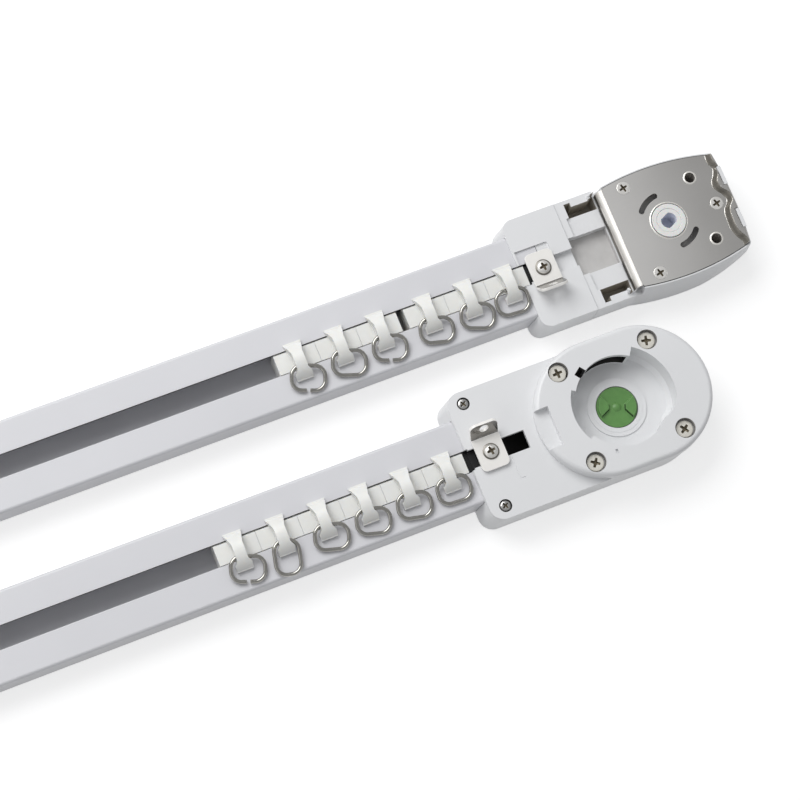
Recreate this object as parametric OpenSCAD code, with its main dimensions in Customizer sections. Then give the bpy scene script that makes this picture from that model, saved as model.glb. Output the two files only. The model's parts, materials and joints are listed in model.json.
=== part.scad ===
// Electric curtain track: two tracks lying on their backs with the slot face up.
// The front track ends in a bayonet motor dock, the rear one in a steel dock plate.
// Lengths are millimetres. The working frame has its zero on the dock's turning axis.

/* [Track] */
// width of the rail, 36 to 50
rail_w = 42; // [36:0.5:50]
// height of the rail, 14 to 20
rail_h = 16.5; // [14:0.5:20]
// width of the slot in the rail's face, 9 to 13
slot_w = 10.8; // [9:0.1:13]
// length of each rail, 400 to 2000
rail_length = 574; // [400:1:2000]
// distance between the centre lines of the two tracks, 70 to 120
track_gap = 75.2; // [70:0.1:120]
// thickness of the rail's floor and side walls, 1.2 to 2
rail_wall = 1.6; // [1.2:0.1:2]
// thickness of the lips beside the slot, 1.6 to 2.6
lip_t = 2.1; // [1.6:0.1:2.6]
// half width of the middle channel, 8 to 11
channel_half = 9.6; // [8:0.1:11]
// thickness of the webs between the channels, 1 to 1.6
web_t = 1.3; // [1:0.1:1.6]

/* [Belt drive] */
// distance of the belt's middle from the centre line, 11 to 15
belt_y = 13; // [11:0.5:15]
// thickness of the belt, 1 to 2
belt_t = 1.4; // [1:0.1:2]
// height of the belt, 4 to 8
belt_h = 6; // [4:0.5:8]
// level of the belt's lower edge, 3 to 4
belt_z = 3.4; // [3:0.1:4]
// gap between a belt and the wheel inside it, 0.2 to 0.4
belt_gap = 0.3; // [0.2:0.05:0.4]
// clearance of a running fit on the radius, 0.02 to 0.1
run_fit = 0.05; // [0.02:0.01:0.1]

/* [Runners] */
// distance from one runner to the next, 20 to 22
runner_pitch = 20.9; // [20:0.1:22]
// width of the eye strap along the track, 3 to 6
strap_w = 5.4; // [3:0.1:6]
// width of the strap's root beyond the slot, 7 to 10
root_w = 9.2; // [7:0.1:10]
// outer radius of the eye strap's arch, 8 to 11
strap_r = 9.85; // [8:0.05:11]
// thickness of the eye strap, 1.2 to 2
strap_t = 1.65; // [1.2:0.05:2]
// half length of the wire ring's centre line, 7.6 to 9
ring_a = 8; // [7.6:0.1:9]
// half width of the wire ring's centre line, 5.6 to 7
ring_b = 5.9; // [5.6:0.1:7]
// bend radius of the ring's corners, 4 to 5.4
ring_r = 5; // [4:0.1:5.4]
// radius of the ring's wire, 0.7 to 1.2
wire_r = 0.95; // [0.7:0.05:1.2]
// gap between the ends of a ring, 1 to 3
ring_gap = 1.7; // [1:0.1:3]

/* [Front head] */
// height of the cover's top above the rail, 2 to 4
cover_lift = 2.5; // [2:0.1:4]
// half width of the head, 28 to 34
head_half = 32.4; // [30:0.1:34]
// half width of the raised dock rim and radius of its round ends, 32 to 35
dock_half = 33.5; // [32:0.1:35]
// place of the dock rim's right arc beyond the turning axis, 10 to 13
dock_right = 11.6; // [10:0.1:13]
// place of the dock rim's left arc behind the turning axis, 7 to 10
dock_left = 8.7; // [7:0.1:10]
// height of the dock's rim above the cover, 6 to 8
dock_lift = 7; // [6:0.1:8]
// radius of the dock's opening on its wide side, 25 to 28
cup_r = 26.8; // [25:0.1:28]
// radius of the dock's opening under the locking lip, 21 to 23.5
lip_r = 22.2; // [21:0.1:23.5]
// depth of the dock's cup below its rim, 13 to 15
cup_depth = 14; // [13:0.1:15]
// lean of the heads' left end over its height, 2 to 4
end_lean = 3.2; // [2:0.1:4]
// half of the square that the dock screws stand on, 22 to 24
dock_screw = 23.2; // [22:0.1:24]

/* [Rear head] */
// place of the hub along the track, 54 to 62
hub_x = 58.3; // [54:0.1:62]
// height of the steel plate's upper face above the rail, 5 to 6.5
plate_lift = 5.5; // [5:0.1:6.5]
// thickness of the steel plate, 1 to 1.6
plate_t = 1.2; // [1:0.1:1.6]
// radius of the convex long sides, 110 to 160
side_r = 130; // [110:1:160]
// half width of the plate at its widest, 27 to 30
plate_half = 28.4; // [27:0.1:30]
// height of the neck's upper face above the rail, 0.8 to 2
neck_lift = 1.1; // [0.8:0.1:2]
// half width of the neck, 26 to 30
neck_half = 28.3; // [26:0.1:30]

/* [Hidden] */
$fn = 64;
e = 0.01;
// right end of the front rail inside its head
front_end = -62;
// right end of the rear rail inside its adapter
rear_end = -7;
// distance from a rail's left end to the idler wheel's axis
idler_step = 15;
front_idler_x = front_end - rail_length - idler_step;
rear_idler_x = rear_end - rail_length - idler_step;
// outer end of the idler box beyond its axis
idler_out = 17.4;
// right end of the rear housing at its foot
rear_tip = 96.6;
origin_x = (front_idler_x - idler_out + rear_tip) / -2;
cover_z = rail_h + cover_lift;
dock_z = cover_z + dock_lift;
cup_floor = dock_z - cup_depth;
plate_z = rail_h + plate_lift;
neck_z = rail_h + neck_lift;
front_left = -77.7;
neck_left = -18.9;
idler_half = rail_w / 2 + 2;
idler_screw_y = idler_half - 4.4;
front_low = dock_half;
rear_high = plate_half + 2.4;
origin_y = (track_gap + rear_high - front_low) / -2;
lip_under = rail_h - lip_t;
belt_top = belt_z + belt_h;
wheel_r = belt_y - belt_t / 2 - belt_gap;
// middle of each bracket along the track, and the levels of their plates
front_bracket_x = -66.8;
rear_bracket_x = -7.95;
front_plate_z = cover_z + 1.9;
rear_plate_z = neck_z + 1.9;
// reach of the front slider towards its runners
front_reach = 12.4;
rear_reach = 8.3;
// middle of the runner nearest to each bracket
front_runner_x = -89.85;
rear_runner_x = -26.9;
// hole of the bracket's tab above its bend
tab_hole = 5;
// empty length between the third and the fourth rear runner
rear_spread = 3.6;
eye_y = -4.7;
eye_z = rail_h + 3.4;
arch_y = -2.1;
arch_z = rail_h - 2.23;

module front_side() { translate([origin_x, origin_y, 0]) children(); }
module rear_side() { translate([origin_x, origin_y + track_gap, 0]) children(); }
module box(x0, x1, y0, y1, z0, z1) { translate([x0, y0, z0]) cube([x1 - x0, y1 - y0, z1 - z0]); }
module both_sides() { for (s = [0, 1]) mirror([0, s, 0]) children(); }
module post(x, y, z0, z1, r) { translate([x, y, z0]) cylinder(r = r, h = z1 - z0); }
// a flat outline drawn in y and z, pushed along the track
module along_track(x0, x1) { translate([x0, 0, 0]) rotate([90, 0, 90]) linear_extrude(x1 - x0) children(); }
// cross recess of a screw head whose top is at z
module cross(x, y, z, w, l, turn) {
  translate([x, y, z]) rotate([0, 0, turn]) {
    translate([-l / 2, -w / 2, -1.3]) cube([l, w, 2]);
    translate([-w / 2, -l / 2, -1.3]) cube([w, l, 2]);
  }
}

// extruded aluminium rail
module rail_outline() {
  edge_r = 1.6;
  difference() {
    union() {
      translate([-rail_w / 2, 0]) square([rail_w, rail_h - edge_r]);
      translate([-rail_w / 2 + edge_r, 0]) square([rail_w - 2 * edge_r, rail_h]);
      for (s = [-1, 1]) translate([s * (rail_w / 2 - edge_r), rail_h - edge_r]) circle(r = edge_r);
    }
    translate([-channel_half, rail_wall]) square([2 * channel_half, lip_under - rail_wall]);
    translate([-slot_w / 2, lip_under - 1]) square([slot_w, lip_t + 2]);
    for (s = [0, 1]) mirror([s, 0]) {
      translate([channel_half + web_t, rail_wall])
        square([rail_w / 2 - rail_wall - channel_half - web_t, lip_under - rail_wall]);
      translate([channel_half - 1, belt_z + 0.6]) square([web_t + 2, belt_h - 0.6]);
    }
  }
}
module rail(right) {
  color([0.86, 0.87, 0.88]) along_track(right - rail_length, right) rail_outline();
}

// runner with its eye strap, drawn about its own middle
module strap_plan() {
  polygon([[-4, -11.3], [4, -11.3], [4, -8.6], [strap_w / 2, -6.6], [strap_w / 2, 1.4], [root_w / 2, 7.9],
    [-root_w / 2, 7.9], [-strap_w / 2, 1.4], [-strap_w / 2, -6.6], [-4, -8.6]]);
}
module runner(x) {
  color([0.92, 0.92, 0.89]) translate([x, 0, 0]) {
    half = runner_pitch / 2 - 0.05;
    union() {
      box(-half, half, -5.2, 4.55, lip_under - 0.3, rail_h + 0.35);
      box(-half, half, -8.9, 8.9, lip_under - 2.6, lip_under - 0.3);
      for (s = [-1, 1]) box(s * (half - 2) - 2, s * (half - 2) + 2, -6, 6, rail_wall + 0.2, lip_under - 2.5);
      // root and foot of the strap, lying on the rail's face
      intersection() {
        translate([0, 0, rail_h + 0.25]) linear_extrude(1.35) strap_plan();
        box(-6, 6, -12, 8, 0, 60);
      }
      box(-4, 4, -11.3, -7.6, rail_h + 0.25, rail_h + 2.1);
      intersection() {
        along_track(-6, 6) translate([arch_y, arch_z]) difference() {
          circle(r = strap_r);
          circle(r = strap_r - strap_t);
        }
        translate([0, 0, rail_h + 0.25]) linear_extrude(12) strap_plan();
      }
    }
  }
}

// open wire ring, drawn flat about its own middle with its gap on the far side
function ring_top(k, a, b) =
  abs(k) <= a - ring_r ? b : (b - ring_r) + sqrt(ring_r * ring_r - pow(abs(k) - (a - ring_r), 2));
module ring_wire(a, b, gap_x, gap_y) {
  sx = a - ring_r;
  sy = b - ring_r;
  difference() {
    union() {
      for (mx = [0, 1]) for (my = [0, 1]) mirror([mx, 0, 0]) mirror([0, my, 0])
        translate([sx, sy, 0]) rotate_extrude(angle = 90) translate([ring_r, 0]) circle(r = wire_r);
      for (s = [-1, 1]) {
        translate([-sx, s * b, 0]) rotate([0, 90, 0]) cylinder(r = wire_r, h = 2 * sx);
        translate([s * a, -sy, 0]) rotate([-90, 0, 0]) cylinder(r = wire_r, h = 2 * sy);
      }
    }
    translate([gap_x - ring_gap / 2, gap_y - 2, -3]) cube([ring_gap, 4, 6]);
  }
}
// ring hung in a runner's eye: turn is its slant in its own plane, k the place held in the eye
module ring(x, turn, k, a, b, gap_far) {
  drop = ring_r + abs(sin(turn)) * (a - ring_r) + abs(cos(turn)) * (b - ring_r);
  reach = abs(cos(turn)) * ring_top(k, a, b) - sin(turn) * k + drop;
  lean = asin((eye_z - rail_h - wire_r - 0.08) / reach);
  color([0.72, 0.71, 0.68]) translate([x, eye_y, eye_z]) rotate([lean, 0, 0]) rotate([0, 0, turn])
    translate([k, -ring_top(k, a, b), 0])
      ring_wire(a, b, gap_far ? 0 : -k, gap_far ? -b : ring_top(k, a, b));
}

// closed belt lying in both side channels and round both wheels
module belt(right, left) {
  color([0.16, 0.16, 0.17]) translate([0, 0, belt_z]) difference() {
    linear_extrude(belt_h) union() {
      translate([left, -belt_y - belt_t / 2]) square([right - left, 2 * belt_y + belt_t]);
      for (x = [left, right]) translate([x, 0]) circle(r = belt_y + belt_t / 2);
    }
    translate([0, 0, -1]) linear_extrude(belt_h + 2) union() {
      translate([left, -belt_y + belt_t / 2]) square([right - left, 2 * belt_y - belt_t]);
      for (x = [left, right]) translate([x, 0]) circle(r = belt_y - belt_t / 2);
    }
  }
}

// belt wheel with two flanges; the hub carries a square recess where it drives
module belt_wheel(x, bore, hub_top, recess) {
  color([0.9, 0.9, 0.87]) translate([x, 0, 0]) difference() {
    union() {
      cylinder_at(belt_z - 0.1, belt_top + 0.1, wheel_r);
      cylinder_at(belt_z - 1.1, belt_z - 0.3, belt_y + 1.4);
      cylinder_at(belt_top + 0.3, belt_top + 0.9, belt_y + 1.4);
      cylinder_at(belt_z - 0.4, belt_z, wheel_r);
      cylinder_at(belt_top, belt_top + 0.4, wheel_r);
      cylinder_at(belt_z, hub_top, 9.2);
    }
    cylinder_at(0, 40, bore);
    if (recess > 0) box(-recess / 2, recess / 2, -recess / 2, recess / 2, hub_top - 0.9, 40);
  }
}
module cylinder_at(z0, z1, r) { translate([0, 0, z0]) cylinder(r = r, h = z1 - z0); }

// carriage: slider in the channel, bracket plate, pan screw and clip over the belt
module slider(x, seat, reach, step) {
  color([0.88, 0.88, 0.86]) translate([x, 0, 0]) difference() {
    union() {
      box(-reach, 7.2, -8.9, 8.9, rail_wall + 0.3, lip_under - 0.3);
      box(-6.9, 6.9, -4.15, 4.15, lip_under - 0.4, seat);
      // low steps in the slot towards the runners
      box(-reach, 0, -4.15, 4.15, lip_under - 0.4, rail_h - step - 1.1);
      box(-reach + 2.4, 0, -4.15, 4.15, lip_under - 0.4, rail_h - step);
    }
    post(0, 0, 3, seat + 1, 1.55);
    // seat of the belt clip
    box(-4.1, 4.1, -20, 20, belt_z + 1.4, belt_z + 4);
  }
}
module bracket(x, z, side) {
  color([0.8, 0.79, 0.77]) translate([x, 0, 0]) mirror([0, side, 0]) {
    difference() {
      union() {
        box(-7, 7, -5.9, 7.4, z - 1.5, z);
        box(-4.4, 4.4, -8.5, 7.4, z - 1.5, z);
        for (s = [-1, 1]) post(s * 4.4, -5.9, z - 1.5, z, 2.6);
        // bend between plate and tab
        translate([0, 7.4, z + 1]) rotate([0, 90, 0]) difference() {
          translate([0, 0, -7]) cylinder(r = 2.5, h = 14);
          translate([0, 0, -8]) cylinder(r = 1, h = 16);
          translate([-4, -4, -8]) cube([8, 4, 16]);
          rotate([0, 0, -25]) translate([-8, -4, -8]) cube([8, 8, 16]);
        }
        // hook tab
        translate([0, 7.4, z + 1]) rotate([65, 0, 0]) translate([-7, 0, -2.5]) difference() {
          union() {
            cube([14, 5.6, 1.5]);
            for (s = [3, 11]) translate([s, 5.6, 0]) cylinder(r = 3, h = 1.5);
            translate([3, 4, 0]) cube([8, 4.6, 1.5]);
          }
          translate([7, tab_hole, -1]) cylinder(r = 2.2, h = 4);
        }
      }
      post(0, 0, z - 3, z + 3, 1.7);
    }
  }
}
module bracket_screw(x, z) {
  color([0.75, 0.74, 0.71]) difference() {
    union() {
      intersection() {
        post(x, 0, z, z + 2, 4);
        translate([x, 0, z - 4.3]) sphere(r = 6.2);
      }
      post(x, 0, belt_z + 0.9, z + 0.1, 1.5);
    }
    cross(x, 0, z + 1.7, 1.1, 4.2, 10);
  }
}
module belt_clamp(x, side) {
  color([0.3, 0.3, 0.32]) translate([x, 0, 0]) mirror([0, side, 0]) difference() {
    union() {
      box(-4, 4, -3, 11.9, belt_z + 1.5, belt_z + 3.9);
      box(-6, 6, belt_y - 1.85, belt_y - 1.05, belt_z + 0.8, belt_top + 1.4);
      box(-6, 6, belt_y + 1.05, belt_y + 1.85, belt_z + 0.8, belt_top + 1.4);
      box(-6, 6, belt_y - 1.85, belt_y + 1.85, belt_top + 0.35, belt_top + 1.4);
    }
    post(0, 0, 0, 30, 1.7);
  }
}

// idler box at the far end of a track
module idler_outline(grow) {
  union() {
    translate([-idler_out + 7 - grow, -idler_half - grow]) square([35 + 2 * grow, 2 * (idler_half + grow)]);
    translate([-idler_out - grow, -idler_half + 7]) square([12, 2 * idler_half - 14]);
    for (s = [-1, 1]) translate([-idler_out + 7, s * (idler_half - 7)]) circle(r = 7 + grow);
  }
}
module idler_base(x) {
  color([0.86, 0.86, 0.86]) translate([x, 0, 0]) difference() {
    union() {
      difference() {
        linear_extrude(rail_h) idler_outline(0);
        translate([0, 0, rail_wall]) linear_extrude(30) difference() {
          idler_outline(-2);
          translate([idler_step, -40]) square([40, 80]);
        }
      }
      for (s = [-1, 1]) post(-11, s * idler_screw_y, 0.5, rail_h, 2.4);
    }
    box(idler_step - 0.1, 40, -rail_w / 2 - 0.1, rail_w / 2 + 0.1, -1, 30);
    for (s = [-1, 1]) post(-11, s * idler_screw_y, 6, 30, 1.05);
    post(0, 0, -1, 5, 2.52);
  }
}
module idler_cover(x) {
  color([0.86, 0.86, 0.86]) translate([x, 0, 0]) difference() {
    translate([0, 0, rail_h + 0.1]) linear_extrude(2.2) idler_outline(0);
    for (s = [-1, 1]) post(-11, s * idler_screw_y, 0, 40, 1.2);
    for (s = [-1, 1]) post(-11, s * idler_screw_y, rail_h + 1.1, 40, 2.5);
    post(0, 0, rail_h - 1, rail_h + 1, 2.55);
  }
}
module idler_pins() {
  color([0.6, 0.6, 0.6]) {
    front_side() post(front_idler_x, 0, 0.4, rail_h + 0.9, 2.5);
    rear_side() post(rear_idler_x, 0, 0.4, rail_h + 0.9, 2.5);
  }
}
module idler_screw(x, y) {
  difference() {
    union() {
      post(x, y, rail_h + 1.1, rail_h + 2.2, 2.2);
      post(x, y, 6.5, rail_h + 1.2, 1);
    }
    cross(x, y, rail_h + 2.3, 0.7, 2.8, 20);
  }
}
module idler_screws() {
  color([0.72, 0.72, 0.7]) for (s = [-1, 1]) {
    front_side() idler_screw(front_idler_x - 11, s * idler_screw_y);
    rear_side() idler_screw(rear_idler_x - 11, s * idler_screw_y);
  }
}

// head seen from above: square corners rounded at the left, half a circle at the dock end
module head_outline(half, left, corner) {
  union() {
    translate([dock_right, 0]) circle(r = half, $fn = 96);
    translate([left + corner, -half]) square([dock_right - left - corner, 2 * half]);
    translate([left, -half + corner]) square([corner + 1, 2 * half - 2 * corner]);
    for (s = [-1, 1]) translate([left + corner, s * (half - corner)]) circle(r = corner);
  }
}
// leaning left end of a head, between two levels
module leaning_end(left, half, corner, top, z0, z1) {
  intersection() {
    box(left - 20, left + 12, -half, half, z0, z1);
    translate([left, 0, top]) rotate([0, atan(end_lean / top), 0]) translate([0, 0, -2 * top]) linear_extrude(4 * top)
      union() {
        translate([corner, -half]) square([40, 2 * half]);
        translate([0, -half + corner]) square([40, 2 * half - 2 * corner]);
        for (s = [-1, 1]) translate([corner, s * (half - corner)]) circle(r = corner);
      }
  }
}
module front_base() {
  wall = 2.4;
  color([0.86, 0.86, 0.87]) difference() {
    union() {
      difference() {
        union() {
          leaning_end(front_left, head_half, 7, cover_z, 0, rail_h);
          linear_extrude(rail_h) intersection() {
            head_outline(head_half, front_left, 7);
            translate([front_left + 11, -60]) square([160, 120]);
          }
        }
        translate([0, 0, rail_wall]) linear_extrude(40) difference() {
          head_outline(head_half - wall, front_left, 5);
          translate([-100, -60]) square([100 + front_end + 2.4, 120]);
        }
      }
      for (sx = [-1, 1]) for (sy = [-1, 1]) post(sx * dock_screw, sy * dock_screw, 1, rail_h, 3.9);
      post(0, 0, 1, belt_top, 3.5);
      // stop for the carriage
      box(-59.2, -56.6, -8, 8, 1, 9);
    }
    box(-90, front_end + 0.2, -rail_w / 2 - 0.1, rail_w / 2 + 0.1, -1, 40);
    // belt ways and middle channel through the inner wall
    both_sides() box(front_end - 1, front_end + 4, belt_y - 2.3, belt_y + 2.3, 2.6, 30);
    box(front_end - 1, front_end + 2.5, -9.3, 9.3, rail_wall, 40);
    for (sx = [-1, 1]) for (sy = [-1, 1]) post(sx * dock_screw, sy * dock_screw, 6, 30, 1.55);
    for (sy = [-1, 1]) post(-69.9, sy * 26.3, 6, 30, 1.25);
  }
}
module front_cover() {
  color([0.88, 0.88, 0.89]) difference() {
    union() {
      leaning_end(front_left, head_half, 7, cover_z, rail_h + 0.1, cover_z);
      translate([0, 0, rail_h + 0.1]) linear_extrude(cover_z - rail_h - 0.1) intersection() {
        head_outline(head_half, front_left, 7);
        translate([front_left + 11, -60]) square([160, 120]);
      }
    }
    post(0, 0, 0, 40, 28.9);
    // slot over the runners' way, wider at its mouth
    box(-80, -48, -4.55, 4.55, 0, 40);
    box(-80, -76.6, -5.3, 5.3, 0, 40);
    for (sx = [-1, 1]) for (sy = [-1, 1]) post(sx * dock_screw, sy * dock_screw, 0, 40, 1.7);
    for (sy = [-1, 1]) post(-69.9, sy * 26.3, 0, 40, 1.4);
    for (sy = [-1, 1]) post(-69.9, sy * 26.3, cover_z - 1.5, 40, 3.1);
    // fine step line beside the slot
    box(-58.2, -57.7, -16.6, -6.2, cover_z - 0.3, 40);
    box(-58.2, -55.2, -17.1, -16.6, cover_z - 0.3, 40);
  }
}

// upright wedge between two directions seen from above
module wedge(from, to) {
  mid = (from + to) / 2;
  linear_extrude(60) polygon([[0, 0], for (a = [from, mid, to]) [70 * cos(a), 70 * sin(a)]]);
}
// bayonet dock: raised round rim, wide sector, locking lip with a window under it
module dock_profile() {
  union() {
    translate([0, cover_z + 0.1]) square([dock_half, dock_lift - 2.6]);
    translate([0, cover_z + 0.1]) square([dock_half - 2.5, dock_lift - 0.1]);
    translate([dock_half - 2.5, dock_z - 2.5]) circle(r = 2.5);
  }
}
module dock_body() {
  union() {
    translate([dock_right, 0, 0]) rotate([0, 0, -90]) rotate_extrude(angle = 180, $fn = 96) dock_profile();
    translate([-dock_left, 0, 0]) rotate([0, 0, 90]) rotate_extrude(angle = 180, $fn = 96) dock_profile();
    along_track(-dock_left, dock_right) union() {
      dock_profile();
      mirror([1, 0]) dock_profile();
    }
    post(0, 0, cup_floor - 1.5, cover_z + 1, 28.6);
  }
}
module front_dock() {
  color([0.88, 0.88, 0.89]) difference() {
    union() {
      difference() {
        dock_body();
        // narrow bore under the lip
        post(0, 0, cup_floor, 40, lip_r);
        // wide sector with a sloped foot
        intersection() {
          union() {
            translate([0, 0, cup_floor]) cylinder(r1 = cup_r - 2.2, r2 = cup_r, h = 2.2, $fn = 96);
            post(0, 0, cup_floor + 2.2, 40, cup_r);
          }
          wedge(-12, 57);
        }
        // the wide sector runs out in a smaller arc
        intersection() {
          translate([(cup_r - 12) * cos(-12), (cup_r - 12) * sin(-12), 0]) union() {
            translate([0, 0, cup_floor]) cylinder(r1 = 9.8, r2 = 12, h = 2.2);
            post(0, 0, cup_floor + 2.2, 40, 12);
          }
          wedge(-60, -12);
        }
        // the left side opens a little wider than the lip
        intersection() {
          post(0, 0, cup_floor + 5, 40, lip_r + 2.2);
          wedge(148, 210);
        }
      }
      // collar round the coupler
      difference() {
        post(0, 0, cup_floor - 1, cup_floor + 1.5, 14.4);
        post(0, 0, 0, 40, 12.4);
      }
      post(0, 0, cup_floor - 1, cup_floor + 0.7, 12.6);
    }
    post(0, 0, 0, 40, 10.3);
    // window under the locking lip, and the dark room behind it
    intersection() {
      post(0, 0, cup_floor + 0.7, dock_z - 3, 30.4);
      wedge(60, 112);
    }
    intersection() {
      difference() {
        post(0, 0, cup_floor + 2.5, dock_z - 3, 30.2);
        post(0, 0, 0, 40, 23.3);
      }
      wedge(111, 134);
    }
    // small square key hole in the rim
    translate([-13.4, 19.3, 0]) rotate([0, 0, 37]) box(-2.4, 2.4, -1.8, 1.8, cup_floor + 3, 40);
    // release notch in the left edge
    box(-50, -34.3, -9.8, 9.9, dock_z - 4, 40);
    // moulding notch in the lower rim
    box(-12.4, -11.2, -23.2, -21, dock_z - 1, 40);
    for (sx = [-1, 1]) for (sy = [-1, 1]) {
      post(sx * dock_screw, sy * dock_screw, 0, 40, 1.7);
      post(sx * dock_screw, sy * dock_screw, dock_z - 3.6, 40, 4.9);
    }
  }
}
module dock_screws() {
  color([0.85, 0.84, 0.78]) for (sx = [-1, 1]) for (sy = [-1, 1]) difference() {
    union() {
      post(sx * dock_screw, sy * dock_screw, dock_z - 3.6, dock_z - 2.4, 4.25);
      post(sx * dock_screw, sy * dock_screw, dock_z - 3.6, dock_z - 2.1, 3.9);
      post(sx * dock_screw, sy * dock_screw, 7, dock_z - 3.5, 1.5);
    }
    cross(sx * dock_screw, sy * dock_screw, dock_z - 2.1, 1.25, 5, 20 + 35 * sx + 20 * sy);
  }
}
module cover_screws() {
  color([0.72, 0.72, 0.7]) for (sy = [-1, 1]) difference() {
    union() {
      post(-69.9, sy * 26.3, cover_z - 1.5, cover_z - 0.2, 2.8);
      post(-69.9, sy * 26.3, 7, cover_z - 1.4, 1.2);
    }
    cross(-69.9, sy * 26.3, cover_z - 0.2, 0.8, 3.4, 30);
  }
}
// green drive coupler: two raised wedge dogs, a waist between them and a middle dome
module wedge_dog(turn) {
  rotate([0, 0, turn]) intersection() {
    post(0, 0, cup_floor, cup_floor + 2.2, 9.4);
    linear_extrude(40) polygon([[3.6, -1.4], [3.6, 1.4], [12, 9.6], [12, -9.6]]);
  }
}
module front_coupler() {
  color([0.37, 0.6, 0.32]) union() {
    post(0, 0, cup_floor - 1.2, cup_floor + 0.6, 9.9);
    wedge_dog(-20);
    wedge_dog(160);
    translate([0, 0, cup_floor - 2.2]) intersection() {
      sphere(r = 3.6);
      box(-4, 4, -4, 4, 2.4, 4);
    }
    box(-6, 6, -6, 6, cup_floor - 2.4, cup_floor - 1);
  }
}
module bushes(x) {
  color([0.66, 0.52, 0.3]) for (z = [belt_z, belt_top - 2.4]) difference() {
    post(x, 0, z, z + 2, 5.5);
    post(x, 0, z - 1, z + 3, 3.5 + run_fit);
  }
}

// rear head
module plate_outline(half, grow) {
  intersection() {
    translate([57, half - side_r]) circle(r = side_r + grow, $fn = 180);
    translate([57, side_r - half]) circle(r = side_r + grow, $fn = 180);
    translate([92.4 - 200, 0]) circle(r = 200 + grow, $fn = 180);
    translate([57, 0]) circle(r = 41.4 + grow, $fn = 96);
    translate([0, -50]) square([120, 100]);
  }
}
module rear_adapter() {
  left = neck_left;
  corner = 5.5;
  color([0.89, 0.89, 0.89]) difference() {
    union() {
      leaning_end(left, neck_half, corner, neck_z, 0, neck_z);
      box(left + 11, 9.4, -neck_half, neck_half, 0, neck_z);
    }
    // pocket of the rail
    box(left - 9, rear_end + 0.2, -rail_w / 2 - 0.1, rail_w / 2 + 0.1, -1, rail_h + 0.1);
    // slot and shallow recess beside it
    box(left - 1, 10, -4.55, 4.55, lip_under, 40);
    box(left + 1, -1.8, 4, 12.2, rail_h, 40);
    box(left + 1, -0.8, 4, 11.2, rail_h, 40);
    post(-1.8, 11.2, rail_h, 40, 1);
    box(left - 1, left + 3.4, -5.6, 5.3, lip_under, 40);
    // middle channel up to the carriage's stop, and the way over the raised floor
    box(rear_end - 1, -0.5, -9.3, 9.3, rail_wall, lip_under);
    both_sides() box(rear_end - 1, 10, belt_y - 2.3, belt_y + 2.3, 2.6, belt_top + 1.7);
    // way of the clip's arm between channel and belt
    box(rear_end - 1, -3, -12, 12, belt_z + 0.6, belt_top);
  }
}
module housing_shape(z0, top) {
  foot = 2.9;
  rim = 0.95;
  intersection() {
    for_side(1) cylinder(r1 = side_r + foot, r2 = side_r + rim, h = top, $fn = 180);
    for_side(-1) cylinder(r1 = side_r + foot, r2 = side_r + rim, h = top, $fn = 180);
    translate([92.4 - 200, 0, 0]) cylinder(r1 = 204.2, r2 = 200 + rim, h = top, $fn = 180);
    translate([57, 0, 0]) cylinder(r1 = 45.6, r2 = 41.4 + rim, h = top, $fn = 96);
    // the sides fall in towards the right end
    translate([52, 78.5, 0]) cylinder(r = 110.4, h = top, $fn = 180);
    translate([52, -78.5, 0]) cylinder(r = 110.4, h = top, $fn = 180);
    box(26, 120, -50, 50, z0, top);
  }
}
module for_side(s) { translate([57, s * (plate_half - side_r), 0]) children(); }
module rear_housing() {
  color([0.89, 0.89, 0.89]) difference() {
    union() {
      box(9.6, 29.8, -neck_half, neck_half, rail_wall + 0.1, neck_z - 0.6);
      housing_shape(rail_wall + 0.1, plate_z - 0.35);
      // clip tabs that hold the plate's end
      for (y = [[6.9, 16.6], [-16.1, -6.4]]) box(90.7, 92.5, y[0], y[1], 15, plate_z + 2.3);
    }
    // seat of the plate inside the rim
    difference() {
      translate([0, 0, plate_z - plate_t - 0.1]) linear_extrude(20) plate_outline(plate_half, 0.35);
      for (y = [[6.9, 16.6], [-16.1, -6.4]]) box(90.7, 92.5, y[0], y[1], 15, 60);
    }
    // cut in front of the plate's bent flange
    box(29.6, 33.9, -60, 60, 14, 60);
    // recess between the belt tunnels
    box(9, 29.7, -9.8, 9.8, belt_top + 1.2, 60);
    // side pockets
    both_sides() difference() {
      box(14.2, 29.7, 19.2, 26.4, 3, 60);
      box(17.4, 27, 24.2, 27, 0, 60);
    }
    both_sides() box(12.8, 29.7, 9, 19.3, 15.6, 60);
    // belt tunnels and the wheel's room
    both_sides() box(9, hub_x, belt_y - 2.3, belt_y + 2.3, 0, belt_top + 1.2);
    post(hub_x, 0, 0, belt_top + 1.2, belt_y + 2.3);
    // bore of the hub bush
    post(hub_x, 0, 5, 40, 8.42);
    // hollows under the plate
    difference() {
      post(hub_x, 0, belt_top + 3.4, 40, 16.6);
      post(hub_x, 0, 0, 41, 11.4);
    }
    both_sides() box(36, 50, 3, 22, belt_top + 3.4, 40);
    both_sides() box(69, 73, 3, 19, belt_top + 3.4, 40);
    both_sides() post(76.7, 16.5, 3, 40, 3.4);
    for (p = [[43.8, 22.9], [43.8, -22.9], [84, 0]]) {
      post(p[0], p[1], 4, 40, 1.55);
      post(p[0], p[1], plate_z - plate_t - 0.7, 40, 3.4);
    }
  }
}
module rear_base_plate() {
  color([0.86, 0.86, 0.86]) union() {
    difference() {
      intersection() {
        union() {
          box(9.6, 29.8, -neck_half, neck_half, 0, rail_wall);
          intersection() {
            housing_shape(0, plate_z - 0.35);
            box(26, 120, -50, 50, 0, rail_wall);
          }
        }
      }
    }
    post(hub_x, 0, 1, belt_top, 3.5);
  }
}
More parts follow.
